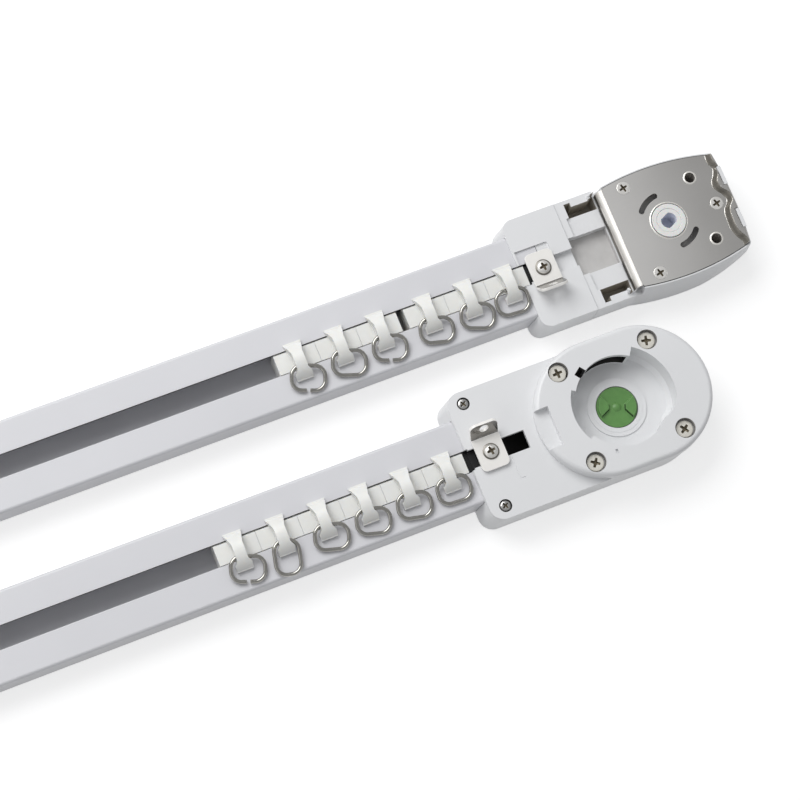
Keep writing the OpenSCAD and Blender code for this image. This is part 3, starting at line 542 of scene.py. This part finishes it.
def bevelEdges(piece, edge, segments=2, sharp=40):
    # rounds the sharp edges and keeps a face attribute of where they are, for the painted edge highlight
    mesh = piece.data
    mesh.materials.clear()
    for slot in (0, 1):
        mesh.materials.append(spareFinish)
    mesh.polygons.foreach_set("material_index", [0] * len(mesh.polygons))
    applyModifier(piece, "BEVEL", width=edge * mm, segments=segments, limit_method="ANGLE", material=1,
                  angle_limit=math.radians(sharp), use_clamp_overlap=True, harden_normals=False)
    mesh = piece.data
    mark = [float(face.material_index) for face in mesh.polygons]
    mesh.attributes.new("edge", "FLOAT", "FACE").data.foreach_set("value", mark)
    mesh.polygons.foreach_set("material_index", [0] * len(mesh.polygons))
    mesh.materials.clear()


def refineNode(name, edge, segments=2, sharp=40):
    piece = cleanCopy(name)
    bevelEdges(piece, edge, segments, sharp)
    smooth(piece)
    return settle(piece, name)


def combine(piece, other, operation):
    # boolean of two pieces, the second is used up
    modifier = piece.modifiers.new("combine", "BOOLEAN")
    modifier.operation = operation
    modifier.object = other
    modifier.solver = "EXACT"
    activate(piece)
    bpy.ops.object.modifier_apply(modifier=modifier.name)
    bpy.data.objects.remove(other, do_unlink=True)


def newPiece(name, points, faces):
    mesh = bpy.data.meshes.new(name)
    mesh.from_pydata(points, [], faces)
    piece = bpy.data.objects.new(name, mesh)
    bpy.context.scene.collection.objects.link(piece)
    activate(piece)
    bpy.ops.object.mode_set(mode="EDIT")
    bpy.ops.mesh.select_all(action="SELECT")
    bpy.ops.mesh.normals_make_consistent(inside=False)
    bpy.ops.object.mode_set(mode="OBJECT")
    return piece


# Screws: each head is turned from its profile, then the cross recess is sunk
screwKinds = {
    # head profile as (radius, depth under the top), arm length and width of the cross, its depth
    "dock": {"head": [(0, 0), (3.75, 0.0), (4.1, 0.14), (4.25, 0.4), (4.25, 1.5), (1.5, 1.5), (1.5, 9)],
             "arm": 2.4, "wide": 1.15, "deep": 1.25},
    "cover": {"head": [(0, 0), (1.9, 0.03), (2.35, 0.25), (2.5, 0.6), (2.8, 0.75), (2.8, 1.28),
                       (1.2, 1.28), (1.2, 8)],
              "arm": 1.65, "wide": 0.7, "deep": 1.0},
    "plate": {"head": [(0, 0), (3.0, 0.0), (3.28, 0.1), (1.6, 1.55), (1.5, 1.6), (1.5, 9)],
              "arm": 2.1, "wide": 0.9, "deep": 1.2},
    "bracket": {"head": [(0, 0), (1.6, 0.06), (2.5, 0.30), (3.15, 0.75), (3.35, 1.2), (3.4, 1.45),
                         (3.95, 1.5), (3.95, 1.88), (1.5, 1.88), (1.5, 6)],
                "arm": 2.15, "wide": 1.05, "deep": 1.3},
    "idler": {"head": [(0, 0), (1.5, 0.02), (2.0, 0.25), (2.2, 0.6), (2.2, 1.1), (1.0, 1.1), (1.0, 8)],
              "arm": 1.45, "wide": 0.7, "deep": 0.9},
}


def turnedHead(kind, place):
    rounds = 40
    ring = screwKinds[kind]["head"][1:]
    points = [place]
    for r, depth in ring:
        for i in range(rounds):
            a = 2 * math.pi * i / rounds
            points.append(place + Vector((r * math.cos(a), r * math.sin(a), -depth)) * mm)
    points.append(place - Vector((0, 0, ring[-1][1])) * mm)
    faces = [(0, 1 + i, 1 + (i + 1) % rounds) for i in range(rounds)]
    for j in range(len(ring) - 1):
        a, b = 1 + j * rounds, 1 + (j + 1) * rounds
        faces += [(a + i, b + i, b + (i + 1) % rounds, a + (i + 1) % rounds) for i in range(rounds)]
    last = 1 + (len(ring) - 1) * rounds
    faces += [(last + (i + 1) % rounds, last + i, len(points) - 1) for i in range(rounds)]
    return newPiece("screw", points, faces)


def headDepth(kind, r):
    # how deep the head's own surface lies at a radius
    line = screwKinds[kind]["head"]
    for (r0, d0), (r1, d1) in zip(line, line[1:]):
        if r0 <= r <= r1 and r1 > r0:
            return d0 + (d1 - d0) * (r - r0) / (r1 - r0)
    return 9


def crossCutter(kind, place, turn):
    # four tapered arms that meet in a small flat bottom
    size = screwKinds[kind]
    arm, half, deep = size["arm"], size["wide"] / 2, size["deep"]
    outline = []
    for quarter in range(4):
        a = math.radians(turn + 90 * quarter)
        for x, y in ((half * 1.25, -half * 1.25), (arm, -half), (arm, half)):
            outline.append((x * math.cos(a) - y * math.sin(a), x * math.sin(a) + y * math.cos(a)))
    points = []
    for z, k in ((0.6, 1.0), (-0.15, 1.0), (-deep * 0.7, 0.72), (-deep, 0.34)):
        points += [place + Vector((x * k, y * k, z)) * mm for x, y in outline]
    n = len(outline)
    faces = [tuple(range(n)), tuple(range(3 * n, 4 * n))]
    for j in range(3):
        faces += [(j * n + i, j * n + (i + 1) % n, (j + 1) * n + (i + 1) % n, (j + 1) * n + i)
                  for i in range(n)]
    return newPiece("cross", points, faces)


def makeScrews(name, kind, places, finish):
    made = []
    for place, turn in places:
        screw = turnedHead(kind, place)
        combine(screw, crossCutter(kind, place, turn), "DIFFERENCE")
        made.append(screw)
    activate(made[0])
    for screw in made:
        screw.select_set(True)
    if len(made) > 1:
        bpy.ops.object.join()
    piece = made[0]
    piece.name = name + "_shape"
    bevelEdges(piece, 0.07, 2, sharp=45)
    smooth(piece, 40)
    piece.data.materials.append(finish)
    # faces in the cross take the painted shade
    piece.data.materials.append(paintedCrossShade)
    arm, top = screwKinds[kind]["arm"], places[0][0].z
    for face in piece.data.polygons:
        r = min(math.hypot(face.center.x - p.x, face.center.y - p.y) for p, _ in places) / mm
        below = (top - face.center.z) / mm - headDepth(kind, r)
        if r < arm * 1.03 and 0.09 < below < 1.6:
            face.material_index = 1
    return settle(piece, name)


# Wire rings: each is bent from one length of wire, open at its gap
ringSizes = {"wire": 0.95, "bend": 5.0, "gap": 1.7, "long": 8.0, "short": 5.9, "eyeY": -4.7, "lift": 3.4,
             "railTop": 16.5, "pitch": 20.9}
ringRows = {
    # slant, place held in the eye, whether it lies long ways, whether its gap is on the far side
    "front": [(-18, 3.0, True, True), (-12, 0.8, False, False), (-15, 2.6, True, False),
              (-15, 2.6, True, False), (-12, 2.2, True, False), (-3, 0.6, True, False)],
    "rear": [(-20, 3.4, True, True), (-18, 3.2, True, False), (-18, 3.2, True, True),
             (-14, 2.4, True, False), (-20, 3.2, True, False), (-3, -1.0, True, False)],
}


def ringTop(k, a, b):
    r = ringSizes["bend"]
    reach = abs(k) - (a - r)
    return b if reach <= 0 else b - r + math.sqrt(r * r - reach * reach)


def ringPath(a, b, gapX, far):
    # the line of the wire, walked from one cut end to the other
    r, half, side = ringSizes["bend"], ringSizes["gap"] / 2, -1 if far else 1
    points = []
    for cx, cy, start in ((a - r, b - r, 90), (a - r, r - b, 0), (r - a, r - b, -90), (r - a, b - r, 180)):
        for step in range(0, 91, 6):
            angle = math.radians(start - step)
            points.append((cx + r * math.cos(angle), cy + r * math.sin(angle)))
    keep = [p for p in points if not (p[1] * side > 0 and abs(p[0] - gapX) < half + 0.4)]

    def crosses(i):
        p, q = keep[i - 1], keep[i]
        return p[1] * side > 0 and q[1] * side > 0 and min(p[0], q[0]) < gapX < max(p[0], q[0])

    cut = next(i for i in range(len(keep)) if crosses(i))
    keep = keep[cut:] + keep[:cut]
    ends = [gapX + half, gapX - half] if not far else [gapX - half, gapX + half]
    first, last = [(x, side * ringTop(x, a, b)) for x in ends]
    return [first] + keep + [last]


def makeRing(name, place, x, turn, k, longWays, far):
    a, b = ringSizes["long"], ringSizes["short"]
    if not longWays:
        a, b = b, a
    r, wire = ringSizes["bend"], ringSizes["wire"]
    t = math.radians(turn)
    drop = r + abs(math.sin(t)) * (a - r) + abs(math.cos(t)) * (b - r)
    reach = abs(math.cos(t)) * ringTop(k, a, b) - math.sin(t) * k + drop
    lean = math.asin((ringSizes["lift"] - wire - 0.08) / reach)
    path = ringPath(a, b, 0 if far else -k, far)
    move = (Matrix.Translation(place(x, ringSizes["eyeY"], ringSizes["railTop"] + ringSizes["lift"]))
            @ Matrix.Rotation(lean, 4, "X") @ Matrix.Rotation(t, 4, "Z")
            @ Matrix.Translation(Vector((k, -ringTop(k, a, b), 0)) * mm))
    curve = bpy.data.curves.new(name + "_wire", "CURVE")
    curve.dimensions = "3D"
    curve.bevel_depth = wire * mm
    curve.bevel_resolution = 6
    curve.use_fill_caps = True
    spline = curve.splines.new("POLY")
    spline.points.add(len(path) - 1)
    for point, (px, py) in zip(spline.points, path):
        point.co = (*(move @ (Vector((px, py, 0)) * mm)), 1)
    ring = bpy.data.objects.new(name + "_wire", curve)
    bpy.context.scene.collection.objects.link(ring)
    activate(ring)
    bpy.ops.object.convert(target="MESH")
    ring = bpy.context.view_layer.objects.active
    bpy.ops.object.mode_set(mode="EDIT")
    bpy.ops.mesh.select_all(action="SELECT")
    bpy.ops.mesh.remove_doubles(threshold=0.000002)
    bpy.ops.mesh.normals_make_consistent(inside=False)
    bpy.ops.object.mode_set(mode="OBJECT")
    bevelEdges(ring, 0.22, 2, sharp=60)
    smooth(ring, 50)
    return settle(ring, name)


# Steel plate of the rear dock: its right end rises in a wavy fold
plateSizes = {"lips": [(76.7, 16.5, 2.55, 3.45), (76.7, -16.5, 2.55, 3.45), (58.3, 0, 8.88, 9.6)],
              "lipRise": 0.22,
              "top": 22.0, "sheet": 1.2, "rise": 2.7, "fold": 3.0, "windows": [(6.6, 16.9), (-16.4, -6.1)],
              "windowEdge": 90.4,
              "foot": [(26, 88.0), (22.5, 87.6), (19.4, 87.7), (16.8, 88.8), (13.6, 87.6), (10.6, 85.6),
                       (8.2, 85.2), (5.8, 86.0), (3.2, 88.0), (0.8, 88.9), (-1.6, 88.5), (-4.0, 86.2),
                       (-7.0, 85.1), (-11, 84.8), (-15.0, 84.8), (-18.4, 85.7), (-21.5, 87.4), (-26, 88.2)]}


def footAt(y):
    line = plateSizes["foot"]
    for i in range(len(line) - 1):
        (y1, x1), (y0, x0) = line[i], line[i + 1]
        if y0 <= y <= y1:
            # smooth curve through the neighbours
            xb = line[i - 1][1] if i else x1
            xa = line[i + 2][1] if i + 2 < len(line) else x0
            t = (y1 - y) / (y1 - y0)
            return 0.5 * (2 * x1 + (x0 - xb) * t + (2 * xb - 5 * x1 + 4 * x0 - xa) * t ** 2
                          + (3 * x1 - xb - 3 * x0 + xa) * t ** 3)
    return line[0][1]


def plateEdge(y):
    # right edge of the plate at a distance from its middle line
    edge = min(92.4 - 200 + math.sqrt(200 ** 2 - y * y), 57 + math.sqrt(41.4 ** 2 - y * y),
               57 + math.sqrt(max(0, 130 ** 2 - (130 - 28.4 + abs(y)) ** 2)))
    for low, high in plateSizes["windows"]:
        if low < y < high:
            return plateSizes["windowEdge"]
    return edge - 0.03


def waveSolid():
    # rows of points from the foot of the fold to the plate's edge, closed below
    steps, base = 16, plateSizes["top"] - 0.7
    rows = [-24.3 + 0.45 * i for i in range(109)]
    for low, high in plateSizes["windows"]:
        rows += [low - 0.02, low + 0.02, high - 0.02, high + 0.02]
    rows = sorted(y for y in rows if plateEdge(y) - footAt(y) > 0.15)
    points, faces = [], []
    for y in rows:
        foot, edge = footAt(y), plateEdge(y)
        for i in range(steps + 1):
            x = foot + (edge - foot) * i / steps
            t = min(1, (x - foot) / plateSizes["fold"])
            rise = plateSizes["rise"] * t * t * (3 - 2 * t)
            # the lip rolls off a little at its outer edge
            rise -= 0.5 * max(0, (x - edge + 0.9) / 0.9) ** 2
            points.append(rear(x, y, plateSizes["top"] - 0.05 + rise))
        points += [rear(edge, y, base), rear(foot, y, base)]
    w = steps + 3
    for j in range(len(rows) - 1):
        for i in range(w):
            a, b = j * w + i, j * w + (i + 1) % w
            faces.append((a, b, b + w, a + w))
    faces += [tuple(range(w)), tuple(range((len(rows) - 1) * w, len(rows) * w))]
    return newPiece("wave", points, faces)


def raisedLip(x, y, inner, outer, rise):
    # small pressed lip round a hole of the sheet
    top = plateSizes["top"] - 0.04
    profile = [(inner, -0.5), (inner, rise * 0.6), (inner + 0.12, rise), (outer - 0.25, rise * 0.8),
               (outer, -0.05), (outer, -0.5)]
    rounds, points, faces = 48, [], []
    for i in range(rounds):
        a = 2 * math.pi * i / rounds
        points += [rear(x + r * math.cos(a), y + r * math.sin(a), top + z) for r, z in profile]
    n = len(profile)
    for i in range(rounds):
        for j in range(n):
            a, b = i * n, ((i + 1) % rounds) * n
            faces.append((a + j, a + (j + 1) % n, b + (j + 1) % n, b + j))
    return newPiece("lip", points, faces)


def makeDockPlate(name):
    plate = cleanCopy(name)
    activate(plate)
    bpy.ops.object.mode_set(mode="EDIT")
    bpy.ops.mesh.select_all(action="SELECT")
    bpy.ops.mesh.bisect(plane_co=rear(0, 0, plateSizes["top"] - 0.04), plane_no=(0, 0, 1),
                        use_fill=True, clear_outer=True, threshold=0.0000005)
    bpy.ops.object.mode_set(mode="OBJECT")
    combine(plate, waveSolid(), "UNION")
    for x, y, inner, outer in plateSizes["lips"]:
        combine(plate, raisedLip(x, y, inner, outer, plateSizes["lipRise"]), "UNION")
    bevelEdges(plate, 0.22, 2, sharp=50)
    smooth(plate, 40)
    return settle(plate, name)


edgeSizes = {
    "front_rail": 0.3, "rear_rail": 0.3, "front_base": 0.5, "front_cover": 0.5, "front_dock": 0.4,
    "rear_adapter": 0.5, "rear_housing": 0.6, "rear_base_plate": 0.3, "rear_dock_plate": 0.25,
    "front_idler_base": 0.6, "rear_idler_base": 0.6, "front_idler_cover": 0.6, "rear_idler_cover": 0.6,
    "front_slider": 0.3, "rear_slider": 0.3, "front_bracket": 0.2, "rear_bracket": 0.2,
    "front_coupler": 0.3, "rear_hub_bush": 0.3, "rear_spindle": 0.25,
}
pieces = {}
for side, place, start, gapAfter in (("front", front, -89.85, 0), ("rear", rear, -26.9, 3.6)):
    for number, (turn, k, longWays, far) in enumerate(ringRows[side], 1):
        x = start - (6 - number) * ringSizes["pitch"] - (gapAfter if number < 4 else 0)
        name = f"{side}_ring_{number}"
        pieces[name] = makeRing(name, place, x, turn, k, longWays, far)
print("rings ready")

screwRows = {
    "front_dock_screws": ("dock", [(front(sx * 23.2, sy * 23.2, 23.9), 20 + 35 * sx + 20 * sy)
                                   for sx in (-1, 1) for sy in (-1, 1)], creamPlating),
    "front_cover_screws": ("cover", [(front(-69.9, sy * 26.3, 18.8), 30) for sy in (-1, 1)], greyPlating),
    "rear_plate_screws": ("plate", [(rear(43.8, 22.9, 22.02), 15), (rear(43.8, -22.9, 22.02), 15),
                                    (rear(84, 0, 22.02), 15)], brightPlating),
    "front_bracket_screw": ("bracket", [(front(-66.8, 0, 22.75), 10)], brightPlating),
    "rear_bracket_screw": ("bracket", [(rear(-7.95, 0, 21.35), 10)], brightPlating),
}
for name, (kind, places, finish) in screwRows.items():
    pieces[name] = makeScrews(name, kind, places, finish())
print("screws ready")

pieces["rear_dock_plate"] = makeDockPlate("rear_dock_plate")


def makeDock(name):
    # the collar round the coupler is only a low step
    dock = cleanCopy(name)
    for vertex in dock.data.vertices:
        at = (vertex.co - zero) / mm
        if math.hypot(at.x, at.y) < 14.8 and 12.8 < at.z < 14:
            vertex.co.z -= 0.95 * mm
    bevelEdges(dock, 0.45, 3)
    smooth(dock)
    return settle(dock, name)


pieces["front_dock"] = makeDock("front_dock")


def makeCoupler(name):
    # the two dogs taper towards their tops, so their flanks show as dark lines
    coupler = cleanCopy(name)
    for vertex in coupler.data.vertices:
        at = (vertex.co - zero) / mm
        if at.z > 13.8:
            side = 1 if at.x * math.cos(math.radians(-20)) + at.y * math.sin(math.radians(-20)) > 0 else -1
            middleX, middleY = (side * 7.2 * math.cos(math.radians(-20)),
                                side * 7.2 * math.sin(math.radians(-20)))
            vertex.co.x += (middleX - at.x) * 0.15 * mm
            vertex.co.y += (middleY - at.y) * 0.15 * mm
    bevelEdges(coupler, 0.22, 2)
    smooth(coupler)
    return settle(coupler, name)


pieces["front_coupler"] = makeCoupler("front_coupler")
for name in sorted(nodes):
    if name not in pieces:
        pieces[name] = refineNode(name, edgeSizes.get(name, 0.15))
print("pieces ready")


# Painted shade on the insides and gaps that the light hardly reaches, and painted highlights and dark
# reflections on the dock plate
def workPlace(point, place):
    # a point as millimetres from the zero of its own track
    return (point - place(0, 0, 0)) / mm


# faces inside the rail's channel, where shade is painted
def insideRail(place):
    def test(middle, normal):
        at = workPlace(middle, place)
        return abs(at.y) < 20.2 and 1.2 < at.z < 14.5
    return test


# inside of the front head, where shade is painted
def insideHead(middle, normal):
    at = workPlace(middle, front)
    within = math.hypot(at.x - 11.6, at.y) < 31.2 or (-76 < at.x < 11.6 and abs(at.y) < 31.2)
    return within and 0.6 < at.z < 16.4


# the dock's window and key hole, where shade is painted
def insideDock(middle, normal):
    at = workPlace(middle, front)
    r, angle = math.hypot(at.x, at.y), math.degrees(math.atan2(at.y, at.x))
    window = 22.4 < r < 30.7 and 58 < angle < 135 and 12.3 < at.z < 23.1
    key = math.hypot(at.x + 13.4, at.y - 19.3) < 3.4 and 12 < at.z < 25.5
    return window or key


def insideDockHoles(middle, normal):
    # walls of the four screw seats, where shade is painted
    at = workPlace(middle, front)
    return math.hypot(abs(at.x) - 23.2, abs(at.y) - 23.2) < 5.0 and at.z < 25.6 and abs(normal.z) < 0.8


# the cover's screw holes, where shade is painted
def insideCoverHoles(middle, normal):
    at = workPlace(middle, front)
    return math.hypot(at.x + 69.9, abs(at.y) - 26.3) < 3.2 and at.z < 18.95


# side pockets of the rear housing, where a brownish shade is painted
def insidePockets(middle, normal):
    at = workPlace(middle, rear)
    return 14.0 < at.x < 29.9 and 19.0 < abs(at.y) < 27.2 and 2 < at.z < 16.6


# housing seen through the plate's slots and eyelets, where shade is painted
def insidePlateHoles(middle, normal):
    at = workPlace(middle, rear)
    slots = 11.3 < math.hypot(at.x - 58.3, at.y) < 16.8 and at.z < 20.7
    return (slots or math.hypot(at.x - 76.7, abs(at.y) - 16.5) < 3.6) and 2 < at.z < 20.75


def slotWall(place):
    # shaded wall of the upper lip
    def test(middle, normal):
        at = workPlace(middle, place)
        return 5.0 < at.y < 5.6 and 14.2 < at.z < 16.3 and normal.y < -0.4
    return test


# painted highlight along the bend
def plateBend(middle, normal):
    at = workPlace(middle, rear)
    return 30.0 < at.x < 34.0 and normal.x < -0.03 and at.z > 18.4


# painted dark reflection on the flange and the foot of the fold
def plateDark(middle, normal):
    at = workPlace(middle, rear)
    flange = at.x < 31.7 and at.z < 18.5
    fold = at.x > 84 and at.z > 22.05 and normal.x < -0.22
    return flange or fold


def plateRim(middle, normal):
    # outer side of the sheet, deep in its seat, where shade is painted black
    at = workPlace(middle, rear)
    outer = abs(at.y) > 20 or at.x > 90
    return outer and 20.7 < at.z < 21.9 and abs(normal.z) < 0.5


# painted highlight on the rims of the eyelets and of the hub hole
def plateHoles(middle, normal):
    at = workPlace(middle, rear)
    eyelet = math.hypot(at.x - 76.7, abs(at.y) - 16.5) < 3.5
    hub = math.hypot(at.x - 58.3, at.y) < 9.65
    return (eyelet or hub) and at.z > 21.3 and abs(normal.z) < 0.999


def seatGap(middle, normal):
    # narrow groove between the sheet and the rim of the housing, painted black as shade
    at = workPlace(middle, rear)
    edge = abs(at.y) > 19 or at.x > 88
    facing = normal.y * at.y < 0 or normal.x < -0.3 or normal.z > 0.9
    return edge and at.x > 34 and 20.5 < at.z < 21.6 and facing


# painted shade on the lower rim of the front bracket screw's head
def screwFlange(middle, normal):
    at = workPlace(middle, front)
    return at.z < 21.6 and math.hypot(at.x + 66.8, at.y) > 2


# painted shade on the lower rim of the rear bracket screw's head
def rearScrewFlange(middle, normal):
    at = workPlace(middle, rear)
    return at.z < 20.2 and math.hypot(at.x + 7.95, at.y) > 2


# floor of the recess between the ribs, where shade is painted
def insideRecess(middle, normal):
    at = workPlace(middle, rear)
    return 8.9 < at.x < 30 and abs(at.y) < 10 and 9 < at.z < 14


def innerTab(place, side):
    # faces of the hook that look back at the plate, where shade is painted
    def test(middle, normal):
        at = workPlace(middle, place)
        return side * at.y > 7.5 and side * normal.y < -0.25
    return test


# inside of the spindle's socket, where a bluish shade is painted
def insideSocket(middle, normal):
    at = workPlace(middle, rear)
    return math.hypot(at.x - 58.3, at.y) < 4.0 and at.z < 22.2


def dogWalls(middle, normal):
    at = workPlace(middle, front)
    leaning = 0.02 < abs(normal.z) < 0.75 and normal.y < 0.35
    return leaning and math.hypot(at.x, at.y) < 9 and 12.7 < at.z < 14.1


def paintLightAndShade():
    for side, place in (("front_rail", front), ("rear_rail", rear)):
        paintFaces(pieces[side], paintedChannelShade, insideRail(place))
    paintFaces(pieces["front_base"], paintedInnerShade, insideHead)
    paintFaces(pieces["front_dock"], paintedInnerShade, insideDock)
    paintFaces(pieces["front_dock"], paintedSeatShade, insideDockHoles)
    paintFaces(pieces["front_cover"], paintedInnerShade, insideCoverHoles)
    paintFaces(pieces["rear_housing"], paintedPocketShade, insidePockets)
    for side, place in (("front_rail", front), ("rear_rail", rear)):
        paintFaces(pieces[side], paintedGapShade, slotWall(place))
    paintFaces(pieces["rear_housing"], paintedSlotShade, insidePlateHoles)
    paintFaces(pieces["rear_housing"], paintedGapShade, seatGap)
    paintFaces(pieces["rear_dock_plate"], paintedHighlight, plateBend)
    paintFaces(pieces["rear_dock_plate"], paintedDarkReflection, plateDark)
    paintFaces(pieces["rear_dock_plate"], paintedGapShade, plateRim)
    paintFaces(pieces["rear_dock_plate"], paintedHighlight, plateHoles)
    paintFaces(pieces["front_bracket_screw"], paintedDarkReflection, screwFlange)
    paintFaces(pieces["rear_bracket_screw"], paintedDarkReflection, rearScrewFlange)
    paintFaces(pieces["rear_housing"], paintedRecessShade, insideRecess)
    paintFaces(pieces["front_bracket"], paintedTabShade, innerTab(front, 1))
    paintFaces(pieces["rear_bracket"], paintedTabShade, innerTab(rear, -1))
    paintFaces(pieces["rear_spindle"], paintedSocketShade, insideSocket)
    paintFaces(pieces["front_coupler"], greenShadeFinish, dogWalls)


paintLightAndShade()


# Floor and light
def makeFloor():
    # glow for the camera and mirrors over a plain pale surface that takes the shadow
    bpy.ops.mesh.primitive_plane_add(size=14, location=(0, 0, cadBounds[0][2] - 0.0002))
    floor = bpy.context.active_object
    floor.name = "floor"
    material = bpy.data.materials.new("paleFloor")
    material.use_nodes = True
    tree = material.node_tree
    shader = tree.nodes["Principled BSDF"]
    shader.inputs["Base Color"].default_value = (0.50, 0.50, 0.50, 1)
    shader.inputs["Roughness"].default_value = 0.9
    glow = addNode(tree, "ShaderNodeEmission")
    path = addNode(tree, "ShaderNodeLightPath")
    seen = addNode(tree, "ShaderNodeMath", operation="MAXIMUM")
    level = addNode(tree, "ShaderNodeMath", operation="MULTIPLY")
    level.inputs[1].default_value = 0.62
    both = addNode(tree, "ShaderNodeAddShader")
    tree.links.new(path.outputs["Is Camera Ray"], seen.inputs[0])
    tree.links.new(path.outputs["Is Glossy Ray"], seen.inputs[1])
    tree.links.new(seen.outputs["Value"], level.inputs[0])
    tree.links.new(level.outputs["Value"], glow.inputs["Strength"])
    tree.links.new(shader.outputs["BSDF"], both.inputs[0])
    tree.links.new(glow.outputs["Emission"], both.inputs[1])
    tree.links.new(both.outputs["Shader"], tree.nodes["Material Output"].inputs["Surface"])
    floor.data.materials.append(material)


def makeSoftbox(name, place, aim, width, height, power):
    data = bpy.data.lights.new(name, "AREA")
    data.shape = "RECTANGLE"
    data.size = width
    data.size_y = height
    data.energy = power
    lamp = bpy.data.objects.new(name, data)
    lamp.location = place
    lamp.rotation_euler = (aim - place).to_track_quat("-Z", "Y").to_euler()
    bpy.context.scene.collection.objects.link(lamp)


def makeWorld(tone, strength):
    world = bpy.data.worlds.new("studio")
    world.use_nodes = True
    shade = world.node_tree.nodes["Background"]
    shade.inputs["Color"].default_value = (*tone, 1)
    shade.inputs["Strength"].default_value = strength
    bpy.context.scene.world = world


makeFloor()
middle = front(-60, 40, 10)
makeSoftbox("keyLight", middle + Vector((-0.40, 0.85, 1.05)), middle, 1.1, 0.9, 14.5)
makeSoftbox("leftPanel", middle + Vector((-1.4, -0.2, 0.75)), middle, 1.3, 0.9, 2.4)
makeWorld((0.975, 0.985, 1.0), 0.43)
bpy.context.scene.view_settings.view_transform = "Standard"
print("floor and light ready")
